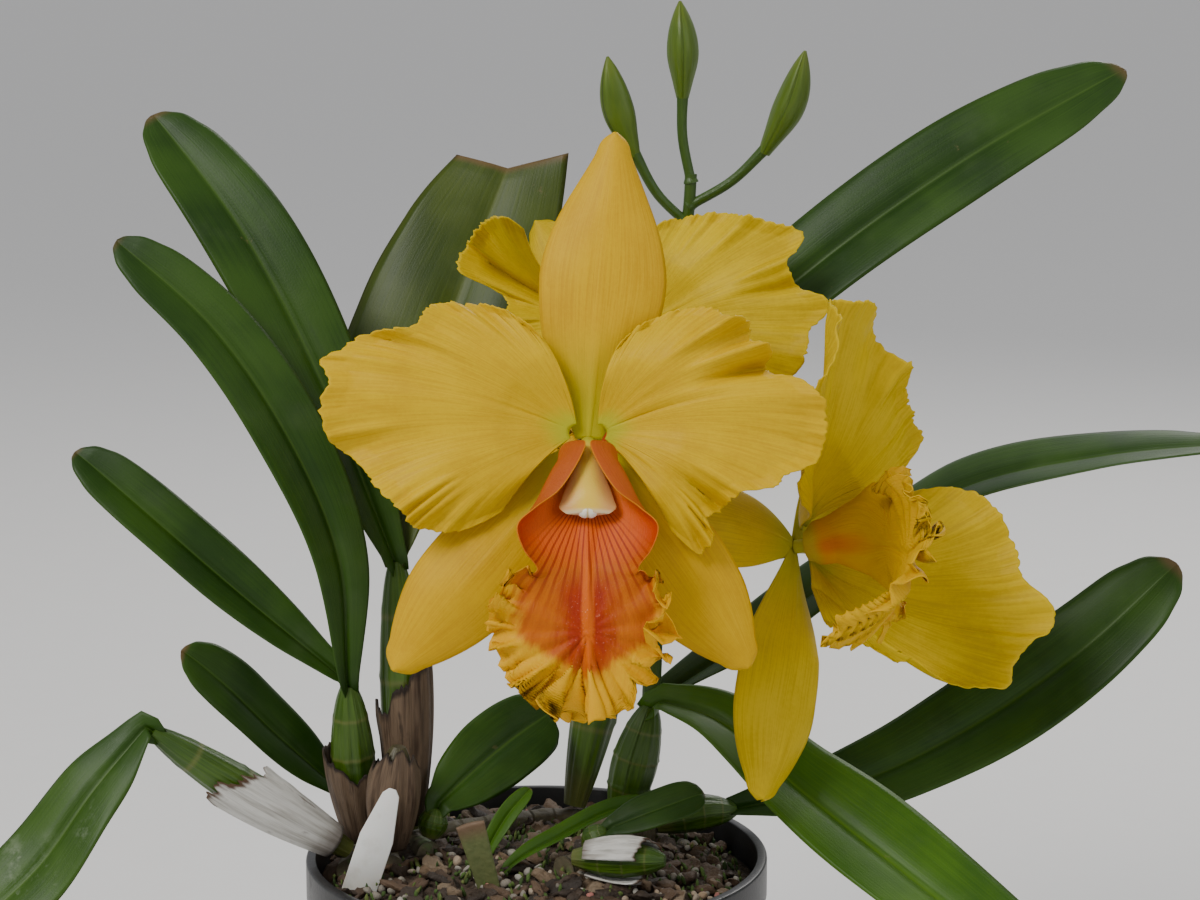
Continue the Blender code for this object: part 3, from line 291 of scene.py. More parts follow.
PETAL_BACK_RIGHT = [(-58, 34), (-46, 52), (-36, 61), (-27, 63), (-21, 63), (-17, 68), (-11.5, 68),
                    (-8.5, 61.5), (-3, 58.5), (1, 59), (5, 64), (8.5, 67.5), (13.5, 64), (17, 60),
                    (21, 57), (24, 54.5), (28, 53), (34, 49.5), (40, 46), (47, 42), (53.5, 39), (60, 32)]
PETAL_BACK_LEFT = [(141, 58), (143, 64), (148, 65), (154, 64), (163, 62), (171, 60.5), (180, 60),
                   (186, 60), (189.5, 57), (192, 47), (196, 41), (204, 40), (215, 38), (228, 32)]

# Petals: which outline, and how far it is turned in its plane, swept forward, twisted on its
# midrib and folded along it, in degrees. The wave shifts its ruffles along its edge. Its rays
# droop by so many degrees on their way out, and pinch is the share of its fan lost at the claw. A
# crimp is a crease that runs in from the edge: its angle and width in degrees, its height in mm.
PETALS_FACING = {
    "petal_left": {
        "outline": PETAL_FRONT_LEFT, "turn": 0, "sweep": 4, "twist": 0, "fold": 0, "wave": 0.4,
        "droop": 13, "pinch": 0,
        "crimps": [(134, 2.2, 1.2), (151, 2.4, 1.8), (162, 3.0, 2.4), (181, 1.4, 1.4), (203, 1.3, 2.6),
                   (206.5, 1.2, 2.4), (210, 1.2, 1.6), (216, 2.0, 1.0)],
    },
    "petal_right": {
        "outline": PETAL_FRONT_RIGHT, "turn": 0, "sweep": 4, "twist": 0, "fold": 0, "wave": 2.1,
        "droop": 13, "pinch": 0,
        "crimps": [(40, 3.0, 4.5), (28, 3.0, 4.0), (21, 2.4, -3.0), (-13, 3.0, 2.0), (-22, 2.5, 2.6),
                   (-32, 3.0, -2.5), (-40, 2.0, 2.8), (-44.5, 1.6, 2.4)],
    },
}
PETALS_SIDE = {
    "petal_left": {
        "outline": PETAL_SIDE_LEFT, "turn": 0, "sweep": 22, "twist": -14, "fold": 22, "wave": 1.3,
        "droop": 0, "pinch": 0,
        "crimps": [(140, 3.0, 2.0), (158, 2.5, 2.6), (192, 2.6, 2.6), (214, 3.0, 2.0)],
    },
    "petal_right": {
        "outline": PETAL_SIDE_RIGHT, "turn": 18, "sweep": 58, "twist": 33, "fold": 0, "wave": 0.2,
        "droop": 0, "pinch": 0,
        "crimps": [(-30, 3.0, 1.6), (-4, 2.2, 2.6), (6, 2.4, 2.4), (30, 3.0, 1.4)],
    },
}
PETALS_BACK = {
    "petal_left": {
        "outline": PETAL_BACK_LEFT, "turn": -30, "sweep": 14, "twist": -20, "fold": 52, "wave": 0.9,
        "droop": 0, "pinch": 0.6,
        "crimps": [(146, 3.0, 1.6), (170, 3.0, 2.0), (206, 3.0, 1.6)],
    },
    "petal_right": {
        "outline": PETAL_BACK_RIGHT, "turn": 16, "sweep": 6, "twist": 0, "fold": 0, "wave": 2.6,
        "droop": 0, "pinch": 0,
        "crimps": [(36, 2.5, 2.4), (22, 2.5, 2.0), (2, 2.0, 3.4), (-6, 2.0, -2.6), (-24, 3.0, 1.8)],
    },
}
# How far a petal domes, lifts and ruffles, and how deep its fine crinkles, crimps and teeth are.
PETAL_DOME = 5.0 * MM
PETAL_LIFT = 2.2 * MM
PETAL_FRILL = 2.8 * MM
PETAL_CRINKLE = 1.5 * MM
PETAL_CRIMP = 1.6 * MM
PETAL_TOOTH = 0.9 * MM
PETAL_ROWS = 64
PETAL_HALF_COLUMNS = 105
PETAL_ROWS_TOWARD = ((0, 0), (0.6, 0.72), (1, 1))

# Sepals: the way they point in degrees, length and full width in mm, how far they sweep forward
# in degrees, and the rise of their keel in mm. Some also twist on their midrib, in degrees, or
# taper: the share of their width that they lose towards the tip.
SEPALS_FACING = {
    "dorsal_sepal": {"toward": 85, "length": 94, "width": 38, "sweep": -2, "bow": 3, "taper": 0.34},
    "lateral_sepal_left": {"toward": 229, "length": 89, "width": 32, "sweep": -1, "bow": 3},
    "lateral_sepal_right": {"toward": -54, "length": 82, "width": 31, "sweep": -1, "bow": 2},
}
SEPALS_SIDE = {
    "dorsal_sepal": {"toward": 98, "length": 74, "width": 32, "sweep": 4, "bow": 3},
    "lateral_sepal_left": {"toward": 232, "length": 62, "width": 28, "sweep": -34, "bow": 2},
    "lateral_sepal_right": {"toward": -42, "length": 84, "width": 31, "sweep": -4, "bow": 3, "twist": 30},
}
SEPALS_BACK = {
    "dorsal_sepal": {"toward": 124, "length": 56, "width": 27, "sweep": -3, "bow": 3},
    "lateral_sepal_left": {"toward": 229, "length": 70, "width": 29, "sweep": -22, "bow": 2},
    "lateral_sepal_right": {"toward": -49, "length": 70, "width": 29, "sweep": -22, "bow": 2},
}
SEPAL_WIDTH_ALONG = [(0, 0.20), (0.1, 0.44), (0.3, 0.83), (0.55, 1.0), (0.75, 0.86), (0.92, 0.44),
                     (0.985, 0.20), (1, 0.05)]
SEPAL_EDGE_DROP = 2.5 * MM
SEPAL_ROWS = 72
SEPAL_COLUMNS = 28
SEPAL_ROWS_TOWARD = ((0, 0), (0.8, 0.86), (1, 1))

# The lip at stations from its foot to its tip: keel (y, z), edge (x, y, z), and the handles
# that bow each cross-section out from the keel and in to the edge, all in mm.
LIP_STATIONS = [
    (0.00, (-4.8, 1.4), (4.2, -2.4, 2.2), (3.8, -0.3, 0.0), (2.6, 0.0, 0.0)),
    (0.06, (-5.8, 2.6), (4.6, -1.4, 3.6), (4.8, -0.3, 0.0), (3.6, 0.0, 0.0)),
    (0.12, (-7.0, 4.2), (3.6, 0.4, 5.4), (8.0, -0.5, 0.0), (7.0, 0.5, 0.0)),
    (0.28, (-13.5, 8.5), (1.0, -1.2, 13.0), (12.5, -0.5, 0.0), (11.0, 0.0, 0.0)),
    (0.34, (-16.5, 10.2), (3.6, -6.4, 17.0), (14.0, -1.0, 0.0), (11.0, 2.0, -2.0)),
    (0.40, (-20.0, 12.0), (8.4, -13.2, 20.5), (15.0, -1.0, 0.0), (9.0, 2.0, -3.0)),
    (0.46, (-24.0, 13.8), (15.0, -18.0, 22.0), (14.0, -1.0, 1.0), (4.0, -1.0, -5.0)),
    (0.52, (-28.5, 15.5), (20.3, -23.4, 23.5), (11.0, -1.0, 1.0), (-1.0, -2.0, -6.0)),
    (0.57, (-32.5, 16.8), (18.4, -30.0, 24.5), (8.0, -0.5, 0.5), (-1.5, -1.0, -5.0)),
    (0.62, (-36.5, 18.0), (14.5, -36.0, 24.0), (6.5, 0.0, 0.5), (-2.0, -0.5, -3.0)),
    (0.68, (-42.0, 19.2), (23.0, -38.5, 23.0), (8.0, 0.0, 0.5), (-7.0, 0.5, -1.0)),
    (0.76, (-50.0, 20.2), (28.0, -47.0, 21.0), (10.0, 0.0, 0.5), (-9.0, 0.5, 0.5)),
    (0.86, (-62.0, 19.8), (27.0, -60.0, 18.0), (10.0, 0.0, 0.0), (-8.0, 0.5, 0.5)),
    (0.94, (-72.0, 17.6), (21.0, -70.5, 16.0), (8.0, 0.0, 0.0), (-6.0, 0.5, 0.5)),
    (1.00, (-80.0, 15.0), (12.0, -78.0, 14.5), (4.0, 0.0, 0.0), (-4.0, 0.5, 0.0)),
]
LIP_ROWS = 142
LIP_HALF_COLUMNS = 88
LIP_ROWS_TOWARD = ((0, 0), (0.3, 0.45), (1, 1))
LIP_EDGE_SHARE = 1.35
# Where the frill starts along the lip, the centre that it runs round, how many waves it has in a
# radian, and how deep its waves, curls, lobes and teeth are.
LIP_FRILL_START = 0.60
LIP_FRILL_CENTRE = -54 * MM
LIP_FRILL_WAVES = 13
LIP_FRILL = 2.4 * MM
LIP_CURL = 3.2 * MM
LIP_LOBE = 2.2 * MM
LIP_TOOTH = 1.1 * MM
# How far, in radians, and how tightly the frill rolls back on the lip's right.
LIP_ROLL = 3.0
LIP_ROLL_RADIUS = 3.3 * MM
# Where the apron of a spread lip starts to lean less than its throat, and over how much it does.
LIP_SPREAD_START = 0.42
LIP_SPREAD_RISE = 0.50
# The red rays of the lip fan out from this many millimetres below the heart of the bloom.
LIP_RAYS_FROM = 12.0
# Small holes that the lip's frill is torn into: place along, place across and radius in mm.
LIP_HOLES = [(0.735, 0.86, 1.3), (0.80, -0.90, 0.9), (0.90, -0.86, 1.6), (0.955, -0.55, 1.1),
             (0.985, -0.30, 0.7), (0.83, 0.82, 0.9), (0.965, 0.50, 0.7)]

# The column: route of its axis with half widths and half depths, in mm.
COLUMN_ROUTE = [(0, 0, -2.4), (0, -1.2, 3), (0, -6, 9), (0, -13, 14), (0, -20, 18)]
COLUMN_HALF_WIDTH = [(0, 2.6), (0.3, 3.2), (0.6, 5.4), (0.85, 7.7), (0.95, 8.1), (1, 6.2)]
COLUMN_HALF_DEPTH = [(0, 2.6), (0.3, 2.7), (0.6, 3.0), (0.85, 3.0), (1, 1.2)]
# Half the width, length and height of the cap on its end, in mm.
CAP_HALF_SIZE = (2.9, 1.8, 2.0)
COLUMN_STEPS = 40
COLUMN_SIDES = 48
CAP_STEPS = 22

# What lies on the mix: copies per square metre, size range in m, tilt in radians, how far they
# are lifted and how lumpy they are in m, and how finely each is divided.
LITTER = {
    "bark": {
        "finish": "bark_chip",
        "values": {
            "Density": 21000.0, "Smallest": (0.0026, 0.0018, 0.0010), "Largest": (0.0080, 0.0044, 0.0020),
            "Tilt": 0.6, "Lift": 0.0002, "Lumps": 0.0034, "Detail": 3, "Seed": 4,
        },
    },
    "grit": {
        "finish": "pale_grit",
        "values": {
            "Density": 22000.0, "Smallest": (0.0007, 0.0006, 0.0006), "Largest": (0.0021, 0.0018, 0.0015),
            "Tilt": 0.9, "Lift": 0.0008, "Lumps": 0.0009, "Detail": 2, "Seed": 9,
        },
    },
    "moss": {
        "finish": "moss_tuft",
        "values": {
            "Density": 52000.0, "Smallest": (0.0004, 0.0004, 0.0008), "Largest": (0.0009, 0.0008, 0.0026),
            "Tilt": 0.5, "Lift": 0.0010, "Lumps": 0.0010, "Detail": 1, "Seed": 17,
        },
    },
}

# How fine the lumps on each chip or grain are.
LUMP_SCALE = 420.0

# Each bloom: where it stands, the ways its right and its top point, how far its lip and column
# lean forward in degrees, its size, whether it is the golden one with the flame-coloured lip, how
# fine its meshes are, its lip's size and how many degrees its apron spreads, and the route of its
# ovary in mm.
BLOOMS = {
    "front_bloom": {
        "place": (17, -60, 290), "right": (1, 0, 0), "up": (0, 0.1736, 0.9848),
        "sepals": SEPALS_FACING, "petals": PETALS_FACING, "lean": 0, "size": 1.0, "lit": True, "fine": 1.0,
        "lip_size": 1.0, "lip_spread": 0,
        "ovary": [(37, 22, 222), (34, 2, 226), (27, -22, 246), (20, -38, 274)],
    },
    "side_bloom": {
        "place": (84.5, -6, 248), "right": (0.242, 0.052, -0.964), "up": (0.38, 0.909, 0.144),
        "sepals": SEPALS_SIDE, "petals": PETALS_SIDE, "lean": 48, "size": 1.0, "lit": False, "fine": 0.85,
        "lip_size": 0.84, "lip_spread": 38,
        "ovary": [(36, 28, 240), (46, 22, 250), (60, 14, 249)],
    },
    "back_bloom": {
        "place": (29, 40, 308), "right": (0.99, -0.10, 0.05), "up": (-0.04, 0.34, 0.94),
        "sepals": SEPALS_BACK, "petals": PETALS_BACK, "lean": 0, "size": 0.94, "lit": False, "fine": 0.6,
        "lip_size": 0.94, "lip_spread": 0,
        "ovary": [(30, 37, 281), (29, 45, 291)],
    },
}

# Petals and sepals: deep and light tissue, the claw's colour, how far it reaches, and how many
# fibres lie across.
PETAL_COLOURS = {
    "golden_petal": ((0.50, 0.300, 0.0), (0.60, 0.390, 0.0), (0.40, 0.42, 0.012), 0.17, 90.0),
    "golden_sepal": ((0.50, 0.275, 0.0), (0.59, 0.355, 0.0), (0.42, 0.40, 0.006), 0.42, 34.0),
    "lemon_petal": ((0.46, 0.310, 0.0), (0.60, 0.425, 0.0), (0.34, 0.36, 0.010), 0.18, 80.0),
    "lemon_sepal": ((0.44, 0.295, 0.0), (0.58, 0.405, 0.0), (0.36, 0.36, 0.010), 0.36, 32.0),
}
LIP_TISSUE = {
    "Specular IOR Level": 0.2, "Subsurface Weight": 0.08, "Subsurface Scale": 0.0015,
    "Subsurface Radius": (1.0, 0.4, 0.05),
}
# Leaves: deep and light tissue, the midrib and edge, and whether water has stained them.
LEAF_COLOURS = {
    "green_leaf": ((0.011, 0.036, 0.002), (0.028, 0.072, 0.004), (0.050, 0.105, 0.010), False),
    # The paler green of the young shoots, also painted light on the arching leaf, which faces the light.
    "bright_leaf": ((0.026, 0.078, 0.002), (0.056, 0.135, 0.005), (0.085, 0.170, 0.012), False),
    "olive_leaf": ((0.024, 0.044, 0.002), (0.054, 0.080, 0.005), (0.080, 0.105, 0.014), False),
    "stained_leaf": ((0.018, 0.052, 0.003), (0.040, 0.094, 0.006), (0.065, 0.125, 0.016), True),
}
# Pseudobulbs and sheaths: deep and light tissue, then the dry foot and rings, or the torn edge.
BULB_COLOURS = {
    "bulb_skin": ((0.024, 0.062, 0.003), (0.055, 0.112, 0.007), (0.120, 0.130, 0.030)),
    "old_bulb": ((0.034, 0.028, 0.010), (0.075, 0.062, 0.020), (0.140, 0.110, 0.050)),
}
PAPER_COLOURS = {
    "white_paper": ((0.34, 0.32, 0.28), (0.62, 0.61, 0.57), (0.080, 0.042, 0.020)),
    "brown_paper": ((0.040, 0.022, 0.012), (0.150, 0.100, 0.062), (0.020, 0.012, 0.008)),
}

FLOOR_SIZE = 60.0
WORLD_COLOUR = (0.96, 0.97, 1.0)
WORLD_STRENGTH = 0.54
# Each light: place and aim in metres, diameter in metres, power in watts and colour.
LIGHTS = [
    ("key", (-0.9, -1.1, 1.5), (0.02, 0, 0.27), 0.8, 27.0, (1.0, 0.98, 0.94)),
    ("fill", (1.3, -1.0, 0.9), (0.02, 0, 0.25), 1.2, 6.0, (0.97, 0.98, 1.0)),
    ("back", (0.6, 1.3, 1.3), (0.02, 0, 0.28), 0.8, 10.0, (1.0, 0.98, 0.95)),
]


def through(stations, places):
    """The values at places on a smooth curve through (position, value) stations."""
    spots = np.array([s[0] for s in stations], float)
    values = np.array([np.atleast_1d(s[1]) for s in stations], float)
    slopes = np.gradient(values, spots, axis=0)
    places = np.asarray(places, float)
    i = np.clip(np.searchsorted(spots, places) - 1, 0, len(spots) - 2)
    step = (spots[i + 1] - spots[i])[..., None]
    t = np.clip((places - spots[i])[..., None] / step, 0, 1)
    a = values[i] * (2 * t**3 - 3 * t**2 + 1) + values[i + 1] * (3 * t**2 - 2 * t**3)
    b = slopes[i] * (t**3 - 2 * t**2 + t) + slopes[i + 1] * (t**3 - t**2)
    found = a + b * step
    return found[..., 0] if found.shape[-1] == 1 else found


def along(route, places):
    """The points, in metres, at shares of the length of a route given in millimetres."""
    lengths = np.linalg.norm(np.diff(np.array(route, float), axis=0), axis=1)
    shares = np.concatenate([[0], np.cumsum(lengths)]) / lengths.sum()
    return through(list(zip(shares, route)), places) * MM


def unit(vectors):
    """The vectors, each of length 1."""
    return vectors / np.maximum(np.linalg.norm(vectors, axis=-1, keepdims=True), 1e-12)


def heading(route, places):
    """The unit directions of a route at shares of its length."""
    step = 0.01
    return unit(along(route, np.minimum(places + step, 1)) - along(route, np.maximum(places - step, 0)))


def turned(points, axis, angle):
    """The points turned about an axis through the origin, by an angle of their own each."""
    axis = np.broadcast_to(axis, points.shape)
    angle = np.broadcast_to(angle, points.shape[:-1])[..., None]
    dot = np.sum(points * axis, axis=-1, keepdims=True)
    cross = np.cross(axis, points)
    return points * np.cos(angle) + cross * np.sin(angle) + axis * dot * (1 - np.cos(angle))


def smooth(values, low, high):
    """0 below low, 1 above high, and a smooth rise between them."""
    t = np.clip((values - low) / (high - low), 0, 1)
    return t * t * (3 - 2 * t)


def waver(places, seed, count=4):
    """Smooth noise between about -1 and 1, from sine waves of unlike lengths."""
    draw = np.random.default_rng(seed)
    total = 0
    for _ in range(count):
        total = total + np.sin(places * draw.uniform(0.6, 2.6) + draw.uniform(0, math.tau))
    return total / count**0.5 / 1.2


def grid(rows, columns, rows_toward=((0, 0), (1, 1)), edge_share=1.0):
    """u and v over a sheet, with rows spaced as rows_toward says and columns closer at the edges."""
    u = np.interp(np.linspace(0, 1, rows + 1), *zip(*rows_toward))
    across = np.linspace(-1, 1, columns + 1)
    v = np.sign(across) * (1 - (1 - np.abs(across)) ** edge_share)
    return np.meshgrid(u, v, indexing="ij")


def shown(name, mesh):
    """An object with its place in its mesh, shaded smooth."""
    obj = bpy.data.objects.new(name, mesh)
    bpy.context.scene.collection.objects.link(obj)
    mesh.shade_smooth()
    return obj


def dressed(piece, finish, slot, *nodes):
    """Gives a piece its material, hangs it under the root and hides the imported parts it replaces; the
    slot is not used.
    """
    piece.data.materials.clear()
    piece.data.materials.append(bpy.data.materials[finish])
    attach(piece, "root")
    if nodes:
        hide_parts(*nodes)
    return piece


def sheet(name, points, thickness, u, v, kept=None, extra=None):
    """A closed sheet round a grid of points, with the values along, across and inner on it.

    thickness is a number or one number a point, and kept says which cells of the grid stay.
    """
    rows, columns = points.shape[:2]
    front = unit(np.cross(np.gradient(points, axis=0), np.gradient(points, axis=1)))
    half = front * (np.broadcast_to(thickness, (rows, columns)) / 2)[..., None]
    corners = np.arange(rows * columns).reshape(rows, columns)
    cells = np.stack([corners[:-1, :-1], corners[1:, :-1], corners[1:, 1:], corners[:-1, 1:]], -1)
    cells = cells.reshape(-1, 4) if kept is None else cells[kept]
    count = rows * columns
    edges = np.concatenate([cells[:, [i, (i + 1) % 4]] for i in range(4)])
    rim = edges[~np.isin(edges @ [count, 1], edges @ [1, count])]
    walls = np.stack([rim[:, 1], rim[:, 0], rim[:, 0] + count, rim[:, 1] + count], -1)
    faces = np.concatenate([cells, cells[:, ::-1] + count, walls])
    places = np.concatenate([(points + half).reshape(-1, 3), (points - half).reshape(-1, 3)])
    used, faces = np.unique(faces, return_inverse=True)
    mesh = bpy.data.meshes.new(name)
    mesh.from_pydata(places[used].tolist(), [], faces.reshape(-1, 4).tolist())
    for key, value in {"along": u, "across": v, **(extra or {})}.items():
        layer = mesh.attributes.new(key, "FLOAT", "POINT")
        layer.data.foreach_set("value", np.tile(value.reshape(-1), 2)[used].astype(np.float32))
    layer = mesh.attributes.new("inner", "FLOAT", "POINT")
    layer.data.foreach_set("value", (used < count).astype(np.float32))
    return shown(name, mesh)


def pierced(points, kept, u, v, place, across, radius):
    """Opens a small hole in a sheet: drops the cells in it and draws the rest out to its rim."""
    row, column = np.unravel_index(np.argmin((u - place) ** 2 * 9 + (v - across) ** 2), u.shape)
    centre = points[row, column].copy()
    gap = np.linalg.norm(points - centre, axis=-1)
    near = (np.abs(u - place) < 0.12) & (np.abs(v - across) < 0.3)
    inside = (gap < radius) & near
    gone = inside[:-1, :-1] & inside[1:, :-1] & inside[:-1, 1:] & inside[1:, 1:]
    kept &= ~gone
    rim = inside & (gap > 0)
    points[rim] = centre + (points[rim] - centre) / gap[rim][:, None] * radius


class Field:
    """A socket that takes part in Python sums: each operator adds a Math node to its graph."""

    def __init__(self, graph, socket):
        self.graph = graph
        self.socket = socket

    def joined(self, operation, a, b):
        """A Math node on two values, or a Vector Math node where either is a vector."""
        fields = [x for x in (a, b) if isinstance(x, Field)]
        if not any(x.socket.type == "VECTOR" for x in fields):
            return self.graph.add("ShaderNodeMath", {0: a, 1: b}, operation=operation)
        flat = [not (isinstance(x, Field) and x.socket.type == "VECTOR") for x in (a, b)]
        if operation == "MULTIPLY" and any(flat):
            vector, number = (b, a) if flat[0] else (a, b)
            return self.graph.add("ShaderNodeVectorMath", {0: vector, "Scale": number}, operation="SCALE")
        return self.graph.add("ShaderNodeVectorMath", {0: a, 1: b}, operation=operation)

    def __add__(self, other):
        return self.joined("ADD", self, other)

    def __radd__(self, other):
        return self.joined("ADD", other, self)

    def __sub__(self, other):
        return self.joined("SUBTRACT", self, other)

    def __rsub__(self, other):
        return self.joined("SUBTRACT", other, self)

    def __mul__(self, other):
        return self.joined("MULTIPLY", self, other)

    def __rmul__(self, other):
        return self.joined("MULTIPLY", other, self)

    def __truediv__(self, other):
        return self.joined("DIVIDE", self, other)

    def __pow__(self, other):
        return self.joined("POWER", self, other)

    def __abs__(self):
        return self.graph.add("ShaderNodeMath", {0: self}, operation="ABSOLUTE")


class Graph:
    """A node tree under construction."""

    def __init__(self, tree):
        self.tree = tree

    def add(self, kind, values=None, output=0, stops=None, **settings):
        """A node of any kind: its settings and its ramp's or curve's stops, then its sockets."""
        node = self.tree.nodes.new(kind)
        for key, setting in settings.items():
            setattr(node, key, setting)
        if stops and kind == "ShaderNodeValToRGB":
            elements = node.color_ramp.elements
            while len(elements) < len(stops):
                elements.new(0.5)
            for element, (place, colour) in zip(elements, stops):
                element.position = place
                element.color = (*colour, 1)
        if stops and kind == "ShaderNodeFloatCurve":
            points = node.mapping.curves[0].points
            while len(points) < len(stops):
                points.new(0.5, 0.5)
            for point, stop in zip(points, stops):
                point.location = stop
            node.mapping.update()
        for key, value in (values or {}).items():
            socket = node.inputs[key]
            if isinstance(value, list):
                for field in value:
                    self.tree.links.new(field.socket, socket)
            elif isinstance(value, Field):
                self.tree.links.new(value.socket, socket)
            elif socket.type == "RGBA":
                socket.default_value = (*value, 1)
            else:
                socket.default_value = value
        return Field(self, node.outputs[output])

    def wave(self, kind, value):
        """SINE, COSINE or another Math operation on one value."""
        return self.add("ShaderNodeMath", {0: value}, operation=kind)

    def larger(self, a, b):
        """The larger of two values."""
        return self.add("ShaderNodeMath", {0: a, 1: b}, operation="MAXIMUM")

    def smaller(self, a, b):
        """The smaller of two values."""
        return self.add("ShaderNodeMath", {0: a, 1: b}, operation="MINIMUM")

    def rise(self, value, low, high):
        """0 below low, 1 above high, and a smooth rise between them; low may be the higher."""
        values = {"Value": value, "From Min": low, "From Max": high}
        return self.add("ShaderNodeMapRange", values, interpolation_type="SMOOTHSTEP")

    def vector(self, x, y, z=0.0):
        """A vector of three values."""
        return self.add("ShaderNodeCombineXYZ", {0: x, 1: y, 2: z})

    def parts(self, vector):
        """The X, Y and Z of a vector."""
        first = self.add("ShaderNodeSeparateXYZ", {0: vector})
        return [Field(self, socket) for socket in first.socket.node.outputs]


class Finish(Graph):
    """A material, with the shader that its graph feeds."""

    def __init__(self, name, fixed=None):
        material = bpy.data.materials.new(name)
        material.use_nodes = True
        super().__init__(material.node_tree)
        self.shader = self.tree.nodes["Principled BSDF"]
        for key, value in (fixed or {}).items():
            self.shader.inputs[key].default_value = value

    def value(self, name):
        """A value that the mesh carries over its surface."""
        return self.add("ShaderNodeAttribute", output=2, attribute_name=name)

    def place(self):
        """The place on the piece, in metres."""
        return self.add("ShaderNodeTexCoord", output=3)

    def noise(self, scale, vector=None, detail=3.0, rough=0.55):
        """Noise over the place on the piece, or over another vector."""
        values = {"Scale": scale, "Detail": detail, "Roughness": rough, "Vector": vector or self.place()}
        return self.add("ShaderNodeTexNoise", values)

    def strands(self, across, along, detail=2.0, rough=0.5):
        """Noise drawn out along the piece: the two numbers say how fine it is across and along."""
        place = self.vector(self.value("across") * across, self.value("along") * along)
        return self.noise(1.0, place, detail, rough)

    def mix(self, share, a, b):
        """From colour a to colour b."""
        return self.add("ShaderNodeMix", {0: share, 6: a, 7: b}, output=2, data_type="RGBA")

    def ramp(self, value, stops):
        """A colour from stops of (value, colour)."""
        return self.add("ShaderNodeValToRGB", {0: value}, stops=stops)

    def show(self, colour, roughness, height, relief):
        """Feeds the shader: its colour, its roughness, and a relief that is so many metres high."""
        self.tree.links.new(colour.socket, self.shader.inputs["Base Color"])
        self.tree.links.new(roughness.socket, self.shader.inputs["Roughness"])
        bump = self.add("ShaderNodeBump", {"Height": height, "Distance": relief, "Strength": 1.0})
        self.tree.links.new(bump.socket, self.shader.inputs["Normal"])


class Rule(Graph):
    """Geometry nodes with named inputs: a rule that is applied to a curve or mesh."""

    def __init__(self, name, numbers, vectors=()):
        super().__init__(bpy.data.node_groups.new(name, "GeometryNodeTree"))
        sockets = self.tree.interface
        sockets.new_socket("Geometry", in_out="OUTPUT", socket_type="NodeSocketGeometry")
        sockets.new_socket("Geometry", in_out="INPUT", socket_type="NodeSocketGeometry")
        sockets.new_socket("Material", in_out="INPUT", socket_type="NodeSocketMaterial")
        for number in numbers:
            kind = "NodeSocketInt" if number[0] == "#" else "NodeSocketFloat"
            sockets.new_socket(number.lstrip("#"), in_out="INPUT", socket_type=kind)
        for vector in vectors:
            sockets.new_socket(vector, in_out="INPUT", socket_type="NodeSocketVector")
        self.start = self.tree.nodes.new("NodeGroupInput")
        self.end = self.tree.nodes.new("NodeGroupOutput")

    def given(self, name):
        """One of the rule's own inputs."""
        return Field(self, self.start.outputs[name])

    def stored(self, geometry, name, value, domain="POINT"):
        """Keeps a value on the points or copies of the geometry under a name."""
        values = {"Geometry": geometry, "Name": name, "Value": value}
        return self.add("GeometryNodeStoreNamedAttribute", values, data_type="FLOAT", domain=domain)

    def close(self, geometry):
        """Ends the rule with real geometry in its material."""
        whole = self.add("GeometryNodeRealizeInstances", {"Geometry": geometry})
        values = {"Geometry": whole, "Material": self.given("Material")}
        painted = self.add("GeometryNodeSetMaterial", values)
        self.tree.links.new(painted.socket, self.end.inputs[0])

    def applied(self, name, data, finish, values):
        """The plain mesh object that the rule makes from a curve or mesh."""
        holder = bpy.data.objects.new(name, data)
        modifier = holder.modifiers.new("Rule", "NODES")
        modifier.node_group = self.tree
        values = {"Material": bpy.data.materials[finish], **values}
        for item in self.tree.interface.items_tree:
            if item.in_out == "INPUT" and item.name in values:
                modifier[item.identifier] = values[item.name]
        bpy.context.scene.collection.objects.link(holder)
        graph = bpy.context.evaluated_depsgraph_get()
        mesh = bpy.data.meshes.new_from_object(holder.evaluated_get(graph))
        bpy.data.objects.remove(holder)
        return shown(name, mesh)


